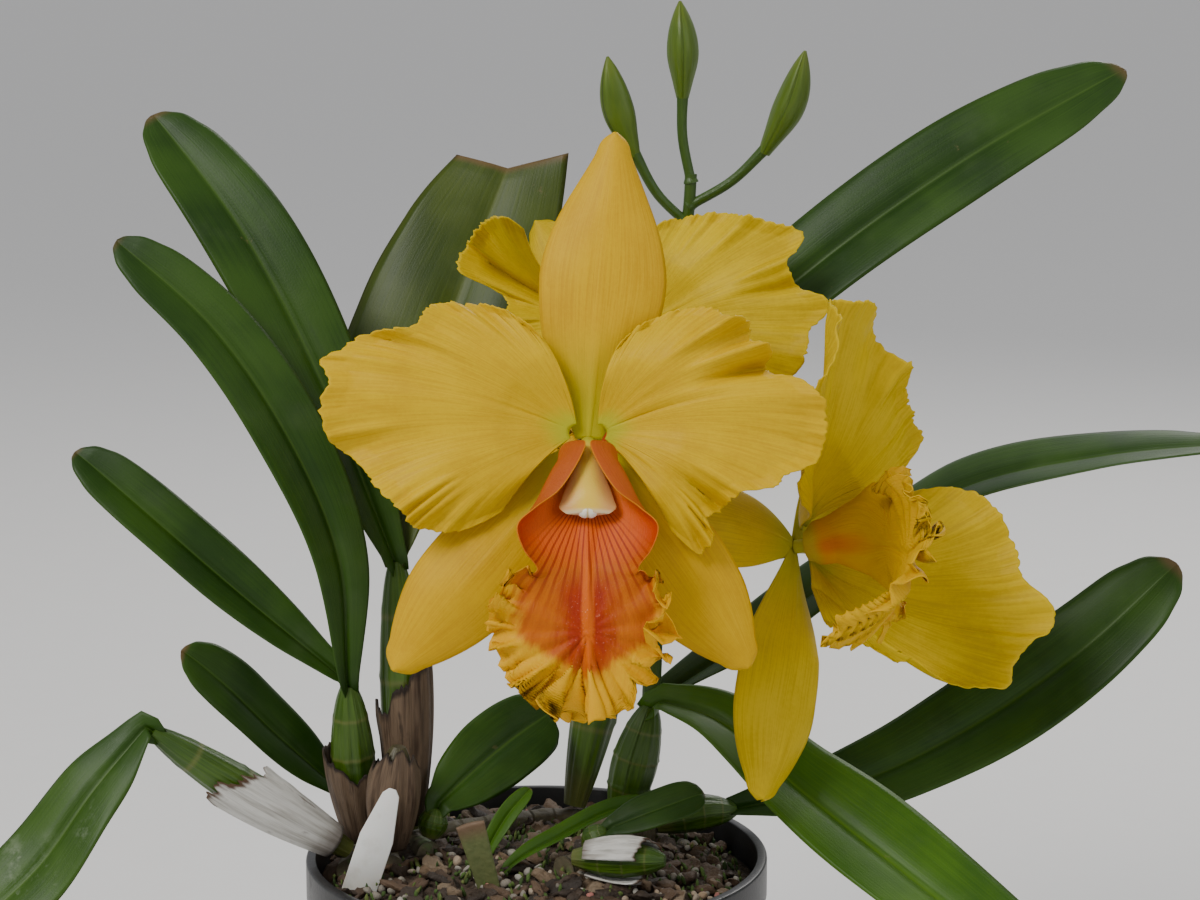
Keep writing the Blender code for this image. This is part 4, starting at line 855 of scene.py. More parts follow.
def leaf_rule(name, widths):
    """A strap leaf along a midrib: its halves fold up from the midrib, and it thins to its edges."""
    rule = Rule(
        name, ["Width", "Fold", "Foot Fold", "Edge Curl", "Thickness", "Notch Depth", "Notch Slant",
               "Wave", "Phase"], ["Face"],
    )
    values = {"Size X": 2.0, "Size Y": 1.0, "Vertices X": LEAF_COLUMNS, "Vertices Y": LEAF_ROWS}
    flat = rule.add("GeometryNodeMeshGrid", values)
    v, y, _ = rule.parts(rule.add("GeometryNodeInputPosition"))
    u = 1 - rule.larger(0.5 - y, 0.0) ** 1.4
    flat = rule.stored(rule.stored(flat, "along", u), "across", v)
    u = rule.add("GeometryNodeInputNamedAttribute", {"Name": "along"}, data_type="FLOAT")
    v = rule.add("GeometryNodeInputNamedAttribute", {"Name": "across"}, data_type="FLOAT")
    values = {"Curves": rule.given("Geometry"), "Factor": u}
    midrib = rule.add("GeometryNodeSampleCurve", values, output=1, mode="FACTOR")
    ahead = Field(rule, midrib.socket.node.outputs["Tangent"])
    across = rule.add("ShaderNodeVectorMath", {0: ahead, 1: rule.given("Face")}, operation="CROSS_PRODUCT")
    across = rule.add("ShaderNodeVectorMath", {0: across}, operation="NORMALIZE")
    normal = rule.add("ShaderNodeVectorMath", {0: across, 1: ahead}, operation="CROSS_PRODUCT")
    half = rule.given("Width") * 0.5 * rule.add("ShaderNodeFloatCurve", {"Value": u}, stops=widths)
    foot = rule.larger(1 - u * 4, 0.0) ** 2
    rise = rule.given("Fold") + (rule.given("Foot Fold") - rule.given("Fold")) * foot
    tip = rule.larger((u - 0.8) * 5, 0.0)
    notch = (rule.given("Notch Depth") * (1 - abs(v)) - rule.given("Notch Slant") * v) * tip
    lift = half * (abs(v) * rule.wave("SINE", rise) - rule.given("Edge Curl") * v * v)
    ripple = rule.wave("SINE", u * 13 + v * 1.5 + rule.given("Phase")) * rule.given("Wave") * v * v
    place = midrib - ahead * notch + across * (half * v * rule.wave("COSINE", rise))
    place = place + normal * (lift + ripple * rule.rise(u, 0.05, 0.4))
    taper = rule.smaller(rule.smaller(u * 50, (1 - u) * 25), 1.0)
    taper = rule.larger(taper, 0.0) ** 0.5 * rule.larger(1 - v * v, 0.0) ** 0.6
    rib = rule.wave("EXPONENT", 0 - (v * 9) ** 2) * rule.rise(u, 1.0, 0.5)
    thick = rule.given("Thickness") * taper
    above = thick * (0.45 - rib * LEAF_GROOVE)
    below = thick * (-0.55 - rib * LEAF_KEEL)
    upper = rule.add("GeometryNodeSetPosition", {"Geometry": flat, "Position": place + normal * above})
    upper = rule.stored(upper, "inner", 1.0)
    lower = rule.add("GeometryNodeSetPosition", {"Geometry": flat, "Position": place + normal * below})
    lower = rule.add("GeometryNodeFlipFaces", {"Mesh": rule.stored(lower, "inner", 0.0)})
    both = rule.add("GeometryNodeJoinGeometry", {"Geometry": [upper, lower]})
    rule.close(rule.add("GeometryNodeMergeByDistance", {"Geometry": both, "Distance": 0.03 * MM}))
    return rule


def stalk_rule():
    """A round stem, bulb or bud along a curve, as thick as the curve's radius, with ribs along it."""
    rule = Rule("stalk", ["#Sides", "#Ribs", "Rib Depth"])
    values = {"Resolution": rule.given("Sides"), "Radius": 1.0}
    circle = rule.add("GeometryNodeCurvePrimitiveCircle", values)
    share = rule.add("GeometryNodeSplineParameter")
    swell = 1 + rule.given("Rib Depth") * rule.wave("COSINE", share * rule.given("Ribs") * math.tau)
    place = rule.add("GeometryNodeInputPosition")
    ribbed = rule.add("GeometryNodeSetPosition", {"Geometry": circle, "Position": place * swell})
    values = {
        "Curve": rule.stored(rule.given("Geometry"), "along", share),
        "Profile Curve": rule.stored(ribbed, "across", share),
        "Scale": rule.add("GeometryNodeInputRadius"), "Fill Caps": True,
    }
    rule.close(rule.add("GeometryNodeCurveToMesh", values))
    return rule


def litter_rule():
    """Chips, grains or moss scattered over a surface: lumps of random size, turn and tone."""
    rule = Rule("litter", ["Density", "Tilt", "Lift", "Lumps", "#Detail", "#Seed"], ["Smallest", "Largest"])
    values = {"Mesh": rule.given("Geometry"), "Density": rule.given("Density"), "Seed": rule.given("Seed")}
    points = rule.add("GeometryNodeDistributePointsOnFaces", values, distribute_method="RANDOM")
    values = {"Geometry": points, "Offset": rule.vector(0.0, 0.0, rule.given("Lift"))}
    points = rule.add("GeometryNodeSetPosition", values)
    lump = rule.add("GeometryNodeMeshIcoSphere", {"Radius": 1.0, "Subdivisions": rule.given("Detail")})
    tilt = rule.given("Tilt")
    angles = rule.vector(tilt, tilt, math.pi)
    values = {0: angles * -1, 1: angles, "Seed": 1}
    turn = rule.add("FunctionNodeRandomValue", values, data_type="FLOAT_VECTOR")
    values = {0: rule.given("Smallest"), 1: rule.given("Largest"), "Seed": 2}
    size = rule.add("FunctionNodeRandomValue", values, data_type="FLOAT_VECTOR")
    values = {
        "Points": points, "Instance": lump, "Scale": size,
        "Rotation": rule.add("FunctionNodeEulerToRotation", {"Euler": turn}),
    }
    copies = rule.add("GeometryNodeInstanceOnPoints", values)
    tone = rule.add("FunctionNodeRandomValue", {2: 0.0, 3: 1.0, "Seed": 3}, output=1, data_type="FLOAT")
    copies = rule.stored(copies, "tone", tone, "INSTANCE")
    solid = rule.add("GeometryNodeRealizeInstances", {"Geometry": copies})
    noise = rule.add("ShaderNodeTexNoise", {"Scale": LUMP_SCALE, "Detail": 1.0}, output=1)
    jolt = rule.add("ShaderNodeVectorMath", {0: noise, 1: (0.5, 0.5, 0.5)}, operation="SUBTRACT")
    values = {"Geometry": solid, "Offset": jolt * rule.given("Lumps")}
    rule.close(rule.add("GeometryNodeSetPosition", values))
    return rule


def spline(name, points, radii):
    """A curve through points in metres, with a radius in metres at each."""
    curve = bpy.data.curves.new(name, "CURVE")
    curve.dimensions = "3D"
    line = curve.splines.new("POLY")
    line.points.add(len(points) - 1)
    line.points.foreach_set("co", np.column_stack([points, np.ones(len(points))]).ravel())
    line.points.foreach_set("radius", np.broadcast_to(radii, len(points)).astype(float))
    return curve


def rooted(midrib):
    """A leaf's midrib, drawn on into the top of the pseudobulb that it grows from."""
    tops = [np.array(made["route"][-1]) * MM for made in BULBS.values()]
    lower = [np.array(made["route"][-2]) * MM for made in BULBS.values()]
    gaps = [np.linalg.norm(midrib[0] - top) for top in tops]
    near = int(np.argmin(gaps))
    if gaps[near] > LEAF_ROOT_REACH:
        return midrib
    foot = tops[near] + unit(lower[near] - tops[near]) * LEAF_ROOT_DEPTH
    shares = np.linspace(0, 1, 5)[:-1, None]
    return np.concatenate([foot + (midrib[0] - foot) * shares, midrib])


def leaves(rules):
    """Every leaf."""
    shares = np.linspace(0, 1, LEAF_STEPS)
    for i, (name, made) in enumerate(LEAVES.items()):
        notched = made.get("notched", False)
        midrib = rooted(along(made["route"], shares))
        values = {
            "Width": made["width"] * MM, "Fold": math.radians(made["fold"]),
            "Foot Fold": math.radians(LEAF_FOOT_FOLD), "Edge Curl": LEAF_EDGE_CURL,
            "Thickness": LEAF_THICKNESS * min(1, made["width"] / 22),
            "Notch Depth": NOTCH_DEPTH if notched else 0.0, "Notch Slant": NOTCH_SLANT if notched else 0.0,
            "Wave": LEAF_WAVE * made["width"] / 35, "Phase": float(i), "Face": made["face"],
        }
        rule = rules["notched_leaf" if notched else "strap_leaf"]
        finish = made.get("finish", "green_leaf")
        piece = rule.applied(name + "_blade", spline(name, midrib, 1), finish, values)
        dressed(piece, finish, "leaf", name)


def bulbs(rules):
    """Every pseudobulb, furrowed, with faint rings where its sheaths grew."""
    shares = np.linspace(0, 1, BULB_STEPS)
    for i, (name, made) in enumerate(BULBS.items()):
        radii = made["radius"] * MM * through(BULB_RADII, shares)
        for place in BULB_RINGS:
            gap = (shares - place - 0.02 * (i % 3)) / BULB_RING_BREADTH
            radii = radii * (1 + BULB_RING_HEIGHT * np.exp(-(gap**2)))
        values = {"Sides": BULB_SIDES, "Ribs": 9 + i % 3, "Rib Depth": BULB_FURROW}
        finish = "old_bulb" if "old" in name else "bulb_skin"
        curve = spline(name, along(made["route"], shares), radii)
        piece = rules["stalk"].applied(name + "_skin", curve, finish, values)
        dressed(piece, finish, "pseudobulb", name)


def sheaths():
    """The dry papery bracts, torn at their tops and wrinkled along."""
    for i, (name, made) in enumerate(SHEATHS.items()):
        route = BULBS[made["bulb"]]["route"]
        u, v = grid(SHEATH_ROWS, SHEATH_COLUMNS)
        torn = 0.10 * np.cos(v * 4.2) * u - 0.16 * np.abs(v) ** 3 * u
        torn = torn + u**3 * (0.05 * waver(v * 9, 40 + i) + 0.025 * waver(v * 40, 50 + i))
        span = made["span"]
        w = span[0] + (span[1] - span[0]) * np.clip(u + torn, 0, 1.12)
        axis = heading(route, w)
        side = np.array([0, -1.0, 0])
        side = unit(side - axis * np.sum(axis * side, axis=-1, keepdims=True))
        angle = np.radians(made["turn"] + SHEATH_WRAP * v)
        out = turned(side, axis, angle)
        reach = BULBS[made["bulb"]]["radius"] * through(BULB_RADII, w) * MM + SHEATH_GAP
        reach = reach + made["flare"] * MM * u * u * (0.4 + 0.6 * np.abs(v))
        reach = reach + 0.35 * MM * waver(v * 14 + 0.8 * u, 60 + i) * (0.3 + u)
        reach = reach + 0.9 * MM * u**2 * np.maximum(0, np.abs(v) - 0.6) * waver(u * 9, 70 + i)
        points = along(route, w) + out * reach[..., None]
        finish = "white_paper" if made["white"] else "brown_paper"
        piece = sheet(name + "_bract", points, SHEATH_THICKNESS, u, v)
        dressed(piece, finish, "papery_sheath" if made["white"] else "brown_sheath", name)


def bloom_frame(place, right, up):
    """The directions and the place of a bloom's own frame."""
    up = unit(np.array(up, float))
    right = np.array(right, float)
    right = unit(right - up * (right @ up))
    return np.array([right, up, np.cross(right, up)]), np.array(place) * MM


def placed(points, frame_of_bloom):
    """Points of a bloom's own frame, in the frame of the model."""
    axes, place = frame_of_bloom
    return points @ axes + place


def swept(points, toward, sweep):
    """Turns points of a tepal forward, from the plane of the bloom towards the way it faces."""
    return turned(points, np.array([math.sin(toward), -math.cos(toward), 0.0]), sweep)


def twisted(across, level, twist, u):
    """Turns places across a tepal and their levels about the tepal's midrib."""
    angle = math.radians(twist) * np.minimum(1, u / 0.4)
    return (across * np.cos(angle) - level * np.sin(angle),
            across * np.sin(angle) + level * np.cos(angle))


def sepal(name, home, size, seed, toward, length, width, sweep, bow, twist=0, taper=0):
    """A narrow outer tepal with a soft keel and a smooth, thin edge."""
    toward = math.radians(toward)
    out = np.array([math.cos(toward), math.sin(toward), 0])
    side = np.array([-out[1], out[0], 0])
    u, v = grid(SEPAL_ROWS, SEPAL_COLUMNS, SEPAL_ROWS_TOWARD)
    reach = SEPAL_FOOT_RADIUS + (length * size * MM - SEPAL_FOOT_RADIUS) * u
    half = width / 2 * size * MM * through(SEPAL_WIDTH_ALONG, u)
    half = half * (1 + 0.018 * waver(u * 11 + np.sign(v), seed)) * (1 - taper * smooth(u, 0.5, 0.95))
    arch = bow * MM * np.sin(math.pi * u) * (1 - v * v) - SEPAL_EDGE_DROP * u * v * v
    arch = arch + 0.5 * MM * waver(u * 7 + v * 1.2, seed + 1) * smooth(u, 0.1, 0.5)
    arch = arch + 0.5 * MM * np.exp(-((v / 0.07) ** 2)) * smooth(u, 0.9, 0.2)
    across, level = twisted(half * v, arch, twist, u)
    points = out * reach[..., None] + side * across[..., None]
    points[..., 2] += SEPAL_FOOT_LEVEL + level
    points = placed(swept(points, toward, math.radians(sweep) * u**0.5), home)
    thin = TEPAL_THICKNESS * (1 - 0.55 * np.maximum(v**6, smooth(u, 0.9, 1)))
    return sheet(name, points, thin, u, v)


def petal(
    name, home, size, seed, fine, outline, turn, sweep, twist, fold, wave, droop, pinch, crimps,
):
    """A broad inner tepal: rays fan out from its claw, its edge is waved, crimped and toothed."""
    stations = [(angle, reach * MM * size) for angle, reach in outline]
    first, last = stations[0][0], stations[-1][0]
    middle = 180 if first > 90 else 0
    toward = math.radians(middle + turn)
    ahead = np.array([math.cos(toward), math.sin(toward), 0])
    side = np.array([-ahead[1], ahead[0], 0])
    foot = np.array([PETAL_FOOT[0] * math.cos(math.radians(middle)), PETAL_FOOT[1], PETAL_FOOT[2]]) * MM
    u, v = grid(round(PETAL_ROWS * fine), 2 * round(PETAL_HALF_COLUMNS * fine), PETAL_ROWS_TOWARD)
    angle = first + (last - first) * (v + 1) / 2
    reach = through(stations, angle)
    ruffled = smooth(np.abs(v), 1.0, 0.9)
    teeth = np.abs(waver(angle * 0.62, seed, 5)) ** 0.7 - 0.5 + 0.4 * waver(angle * 2.1, seed + 1)
    reach = reach + PETAL_TOOTH * teeth * (0.35 + 0.65 * ruffled)
    out = PETAL_CLAW_RADIUS + (reach - PETAL_CLAW_RADIUS) * u
    dome = PETAL_DOME * np.sin(math.pi * np.minimum(u * 1.1, 1)) * np.minimum(out / (25 * MM), 1)
    frill = PETAL_FRILL * u**3 * np.sin(wave + 3.5 * math.pi * v + 1.5 * np.sin(3 * v))
    frill = frill + PETAL_CRINKLE * u**7 * waver(angle * 0.28, seed + 2) * ruffled
    frill = frill + 0.35 * MM * u**10 * waver(angle * 1.1, seed + 3) * ruffled
    groove = -0.5 * MM * np.exp(-((v / 0.035) ** 2)) * smooth(u, 0.95, 0.3) * smooth(u, 0, 0.1)
    creased = 0
    for spot, wide, high in crimps:
        share = np.exp(-(((angle - spot) / wide) ** 2))
        creased = creased + PETAL_CRIMP * share * high * smooth(u, 0.66 - 0.06 * wide, 1.02)
    bent = math.copysign(droop, 90 - middle) - pinch * (last - first) / 2 * v
    turned_angle = np.radians(angle + bent * (1 - u) - middle)
    across = out * np.sin(turned_angle)
    folded = math.radians(fold) * np.minimum(1, u / 0.4)
    level = dome + PETAL_LIFT * u + frill + creased + groove + np.abs(across) * np.sin(folded)
    across, level = twisted(across * np.cos(folded), level, twist, u)
    points = ahead * (out * np.cos(turned_angle))[..., None] + side * across[..., None]
    points[..., 2] += level
    points = placed(foot + swept(points, toward, math.radians(sweep) * u**0.5), home)
    thin = TEPAL_THICKNESS * (1 - 0.6 * smooth(u, 0.86, 1)) * (1 - 0.3 * v**8)
    return sheet(name, points, thin, u, v)


def leant(points, lean):
    """Bends the lip and column forward by an angle that grows from their foot."""
    length = np.linalg.norm(points, axis=-1)
    return turned(points, np.array([1.0, 0, 0]), -np.radians(lean) * np.minimum(1, length / (12 * MM)))


def lip_surface(u, v):
    """The smooth lip at each place of its grid, from its stations."""
    parts = [[(s[0], s[i]) for s in LIP_STATIONS] for i in range(1, 5)]
    keel = through(parts[0], u)
    keel = np.stack([np.zeros_like(u), keel[..., 0], keel[..., 1]], -1)
    edge = through(parts[1], u)
    a, b = keel + through(parts[2], u), edge + through(parts[3], u)
    t = np.abs(v)[..., None]
    points = keel * (1 - t) ** 3 + a * 3 * t * (1 - t) ** 2 + b * 3 * t * t * (1 - t) + edge * t**3
    points = points * MM
    points[..., 0] = np.copysign(points[..., 0], v)
    return points


def frilled(points, rim, past, seed):
    """The lip with its margin waved, curled, torn into lobes and teeth, and rolled on its right."""
    around = np.arctan2(points[..., 0], LIP_FRILL_CENTRE - points[..., 1])
    radial = np.stack([np.sin(around), -np.cos(around), 0 * around], -1)
    tangent = np.stack([np.cos(around), np.sin(around), 0 * around], -1)
    near_edge = rim**3 * np.minimum(1, past * 5)
    torn = smooth(rim, 0.5, 1.0) * np.minimum(1, past * 6)
    on_right = smooth(around, 0.2, 0.9) * smooth(around, 2.5, 1.9)
    heavy = (0.95 + 0.45 * waver(around * 1.6, seed)) * (1 - 0.45 * on_right)
    phase = 0.6 + LIP_FRILL_WAVES * around
    wave = LIP_FRILL * near_edge * np.sin(phase) * (0.55 + 0.6 * heavy)
    curl = LIP_CURL * torn**2 * heavy * np.sin(2.3 * phase + 2.0 * waver(around * 2, seed + 1))
    slip = LIP_CURL * torn**2 * heavy * (np.sin(2 * phase + 0.7) + 0.5 * np.sin(4.6 * phase))
    teeth = np.abs(waver(around * 17, seed + 2, 5)) - 0.45 + 0.5 * waver(around * 46, seed + 3)
    lobes = np.abs(np.sin(1.7 * phase + 2.2 * waver(around * 2.3, seed + 4))) - 0.6
    reach = LIP_TOOTH * teeth * torn**3 + LIP_LOBE * heavy * lobes * torn**2
    turn = LIP_ROLL * on_right * (0.85 + 0.3 * np.sin(1.4 * phase)) * np.minimum(1, past * 6)
    turn = turn * np.clip((rim - 0.54) / 0.46, 0, 1)
    reach = reach + LIP_ROLL_RADIUS * (np.sin(turn) - turn)
    rise = wave + curl + LIP_ROLL_RADIUS * (1 - np.cos(turn))
    points = points + tangent * slip[..., None] + radial * reach[..., None]
    points[..., 2] += rise
    return points


def lip(name, home, size, lean, spread, seed, fine):
    """The lip: a throat that wraps over the column, then a broad apron with a torn, curled frill."""
    counts = round(LIP_ROWS * fine), 2 * round(LIP_HALF_COLUMNS * fine)
    u, v = grid(*counts, LIP_ROWS_TOWARD, LIP_EDGE_SHARE)
    points = lip_surface(u, v)
    side, down = points[..., 0] / MM, -points[..., 1] / MM
    t = np.abs(v)
    past = np.clip((u - LIP_FRILL_START) / (1 - LIP_FRILL_START), 0, 1)
    rim = np.maximum(t, past)
    points = frilled(points, rim, past, seed)
    rolled = smooth(t, 0.82, 1.0) * smooth(u, 0.62, 0.5) * smooth(u, 0.05, 0.2)
    keel = np.exp(-((v / 0.05) ** 2)) * smooth(u, 0.3, 0.5) * smooth(u, 0.95, 0.7)
    points[..., 2] += (0.6 * rolled + 0.8 * keel) * MM
    kept = np.ones((u.shape[0] - 1, u.shape[1] - 1), bool)
    for place, across, radius in LIP_HOLES:
        pierced(points, kept, u, v, place, across, radius * MM)
    share = np.clip((u - LIP_SPREAD_START) / LIP_SPREAD_RISE, 0, 1)
    points = placed(leant(points * size, lean - spread * ((1 + v) / 2) ** 2 * share), home)
    thin = LIP_THICKNESS * (1 - 0.55 * smooth(rim, 0.75, 1))
    marks = {"frill": rim * np.minimum(1, past * 5), "side": side, "down": down}
    marks["fan"] = np.arctan2(side, np.maximum(down - LIP_RAYS_FROM, 1.0))
    return sheet(name, points, thin, u, v, kept, marks)


def skin(name, rings, values):
    """A closed mesh round a stack of rings, with a value at each point, its ends filled."""
    rows, sides = rings.shape[:2]
    first = np.arange(rows * sides).reshape(rows, sides)
    after = np.roll(first, -1, axis=1)
    faces = np.stack([first[:-1], after[:-1], after[1:], first[1:]], -1).reshape(-1, 4).tolist()
    mesh = bpy.data.meshes.new(name)
    ends = [first[0][::-1].tolist(), first[-1].tolist()]
    mesh.from_pydata(rings.reshape(-1, 3).tolist(), [], faces + ends)
    for key, value in values.items():
        layer = mesh.attributes.new(key, "FLOAT", "POINT")
        layer.data.foreach_set("value", np.broadcast_to(value, (rows, sides)).astype(np.float32).ravel())
    return shown(name, mesh)


def column(name, home, size, lean):
    """The column: round at its foot, widening into thin wings, and its white cap of two lobes."""
    w = np.linspace(0, 1, COLUMN_STEPS)
    centres = leant(along(COLUMN_ROUTE, w) * size, lean)
    steps = unit(np.gradient(centres, axis=0))
    right = np.array([1.0, 0, 0])
    deep = unit(np.cross(steps, right))
    angle = np.linspace(0, math.tau, COLUMN_SIDES, endpoint=False)
    wide = (through(COLUMN_HALF_WIDTH, w) * MM * size)[:, None] * np.cos(angle)
    winged = smooth(w, 0.35, 0.9)[:, None]
    high = np.sin(angle) * (1 - 0.62 * winged * np.cos(angle) ** 2)
    high = high * (through(COLUMN_HALF_DEPTH, w) * MM * size)[:, None]
    rings = centres[:, None] + right * wide[..., None] + deep[:, None] * high[..., None]
    body = skin(name, placed(rings, home), {"along": w[:, None], "across": np.cos(angle)})
    turns = np.linspace(0.02, math.pi - 0.02, CAP_STEPS)
    x, round_the = np.cos(turns)[:, None], np.sin(turns)[:, None]
    y, z = round_the * np.cos(angle), round_the * np.sin(angle)
    lobed = 1 - 0.3 * np.exp(-((x / 0.22) ** 2)) * smooth(y, 0.0, 0.8)
    half_width, half_length, half_height = CAP_HALF_SIZE
    x, y = x * half_width * size, (y * half_length * lobed + 0.1) * size
    z = z * half_height * size - 0.4
    cap = (right * x[..., None] + steps[-1] * y[..., None] + deep[-1] * z[..., None]) * MM
    return body, skin(name + "_cap", placed(centres[-2] + cap, home), {"along": np.cos(turns)[:, None]})


def bloom(
    name, place, right, up, sepals, petals, lean, size, lit, fine, lip_size, lip_spread, ovary,
):
    """One open flower. Gives the route of the pedicel and ovary that carry it."""
    home = bloom_frame(place, right, up)
    finish = "golden_petal" if lit else "lemon_petal"
    seed = len(name) * 7 + int(place[0])
    for i, (part, sizes) in enumerate(sepals.items()):
        piece = sepal(f"{name}_{part}_blade", home, size, seed + 10 * i, **sizes)
        dressed(piece, finish.replace("petal", "sepal"), "petal", f"{name}_{part}")
    for i, (part, sizes) in enumerate(petals.items()):
        piece = petal(f"{name}_{part}_blade", home, size, seed + 100 + 10 * i, fine, **sizes)
        dressed(piece, finish, "petal", f"{name}_{part}")
    piece = lip(f"{name}_lip_blade", home, lip_size, lean, lip_spread, seed + 200, fine)
    slot = "lip" if lit else "side_lip"
    dressed(piece, "flame_lip" if lit else "pale_lip", slot, f"{name}_lip")
    body, cap = column(f"{name}_column_body", home, lip_size, lean)
    dressed(body, "column_wax", "column", f"{name}_column")
    dressed(cap, "cap_white", "column")
    neck = placed(np.array([0, 0, OVARY_TOP_LEVEL - OVARY_STRAIGHT]), home) / MM
    top = placed(np.array([0, 0, OVARY_TOP_LEVEL]), home) / MM
    return ovary + [tuple(neck), tuple(top)]


def joined(name, pieces):
    """One object made of several, whose meshes keep their places."""
    whole = bmesh.new()
    for piece in pieces:
        whole.from_mesh(piece.data)
        bpy.data.objects.remove(piece)
    mesh = bpy.data.meshes.new(name)
    whole.to_mesh(mesh)
    whole.free()
    return shown(name, mesh)


def stems(rules, ovaries):
    """The peduncle with its pedicels and ribbed ovaries, and the bud spray with its buds."""
    shares = np.linspace(0, 1, STEM_STEPS)
    stalk = rules["stalk"]
    plain = {"Sides": 24, "Ribs": 6, "Rib Depth": 0.02}
    knot = 1 + 0.25 * np.exp(-(((shares - PEDUNCLE_KNOT) / 0.02) ** 2))
    curve = spline("peduncle", along(PEDUNCLE_ROUTE, shares), PEDUNCLE_RADIUS * MM * knot)
    pieces = [stalk.applied("peduncle", curve, "stem_skin", plain)]
    for i, route in enumerate(ovaries):
        radii = through(PEDICEL_RADII, shares) * MM
        curve = spline(f"pedicel_{i}", along(route, shares), radii)
        pieces.append(stalk.applied(f"pedicel_{i}", curve, "stem_skin", {**plain, "Rib Depth": 0.06}))
    dressed(joined("flower_stem_skin", pieces), "stem_skin", "flower_stem", "flower_stem")
    knot = 1 + 0.2 * np.exp(-(((shares - SPRAY_KNOT) / 0.02) ** 2))
    curve = spline("spray", along(SPRAY_ROUTE, shares), SPRAY_RADIUS * MM * knot)
    pieces = [stalk.applied("spray", curve, "stem_skin", plain)]
    for name, made in BUDS.items():
        flared = SPRAY_RADIUS * MM * (0.85 + 0.45 * np.exp(-((shares / 0.05) ** 2)) + 0.2 * shares**6)
        curve = spline(f"stalk_{name}", along(made["stalk"], shares), flared)
        pieces.append(stalk.applied(f"stalk_{name}", curve, "stem_skin", plain))
        radii = through(BUD_RADII, shares) * MM
        curve = spline(f"bud_{name}", along(made["bud"], shares), radii)
        bud = stalk.applied(f"bud_{name}", curve, "bud_skin", {"Sides": 48, "Ribs": 3, "Rib Depth": 0.07})
        dressed(bud, "bud_skin", "bud")
    dressed(joined("bud_spray_skin", pieces), "stem_skin", "bud", "bud_spray")


def soil_height(radius):
    """The height of the potting mix's domed top, before its relief."""
    return SOIL_EDGE_HEIGHT + SOIL_CROWN * (1 - (radius / (POT_RIM_RADIUS - 4 * MM)) ** 2)


def pot_radius(height):
    """The pot's outer radius under its rim band."""
    share = height / (POT_HEIGHT - POT_BAND_HEIGHT)
    return POT_BASE_RADIUS + (POT_RIM_RADIUS - POT_BAND_STEP - POT_BASE_RADIUS) * share


def lathe(name, profile, sides):
    """What a profile of (radius, height) points sweeps round the axis, with its faces outwards."""
    places, rings = [], []
    for radius, height in profile:
        angles = [math.tau * i / sides for i in range(sides if radius else 1)]
        rings.append([len(places) + i for i in range(len(angles))])
        places += [(radius * math.cos(a), radius * math.sin(a), height) for a in angles]
    faces = []
    for ring, after in zip(rings, rings[1:]):
        for i in range(sides):
            j = (i + 1) % sides
            corners = ring[i % len(ring)], ring[j % len(ring)], after[j % len(after)], after[i % len(after)]
            faces.append(list(dict.fromkeys(corners)))
    mesh = bpy.data.meshes.new(name)
    mesh.from_pydata(places, [], faces)
    return shown(name, mesh)


def corner(centre, radius, start, end, steps=5):
    """Points of a rounded corner of a profile, from one angle in degrees to another."""
    angles = np.radians(np.linspace(start, end, steps))
    return [(centre[0] + radius * math.cos(a), centre[1] + radius * math.sin(a)) for a in angles]


def pot():
    """The moulded pot, its rim and foot rounded, its drain holes cut."""
    band = POT_HEIGHT - POT_BAND_HEIGHT
    inner_top = POT_RIM_RADIUS - POT_BAND_STEP - POT_WALL + 0.6 * MM
    foot, under, outer, inner = POT_ROUNDS
    profile = [(0, 0), *((radius, 0) for radius in POT_UNDERSIDE_RINGS)]
    profile += corner((POT_BASE_RADIUS - foot, foot), foot, -90, -8)
    profile += [(pot_radius(h), h) for h in np.linspace(2 * foot, band, 14)]
    profile += corner((POT_RIM_RADIUS - under, band + under), under, -90, 0, 4)
    profile += corner((POT_RIM_RADIUS - outer, POT_HEIGHT - outer), outer, 0, 90)
    profile += corner((inner_top + inner, POT_HEIGHT - inner), inner, 90, 180, 4)
    profile += [(pot_radius(h) - POT_WALL, h) for h in (band, POT_FLOOR)] + [(0, POT_FLOOR)]
    piece = lathe("pot_shell", profile, POT_SIDES)
    drills = []
    for i in range(DRAIN_HOLES):
        angle = math.tau * (i + 0.43) / DRAIN_HOLES
        tall = 3 * POT_FLOOR
        ends = [(0, -tall), (DRAIN_RADIUS, -tall), (DRAIN_RADIUS, tall), (0, tall)]
        drill = lathe(f"drill_{i}", ends, 32)
        place = (DRAIN_CIRCLE * math.cos(angle), DRAIN_CIRCLE * math.sin(angle), 0)
        drill.data.transform(Matrix.Translation(place))
        cut = piece.modifiers.new(drill.name, "BOOLEAN")
        cut.object = drill
        drills.append(drill)
    graph = bpy.context.evaluated_depsgraph_get()
    piece.data = bpy.data.meshes.new_from_object(piece.evaluated_get(graph))
    piece.modifiers.clear()
    for drill in drills:
        bpy.data.objects.remove(drill)
    dressed(piece, "pot_plastic", "pot", "pot")


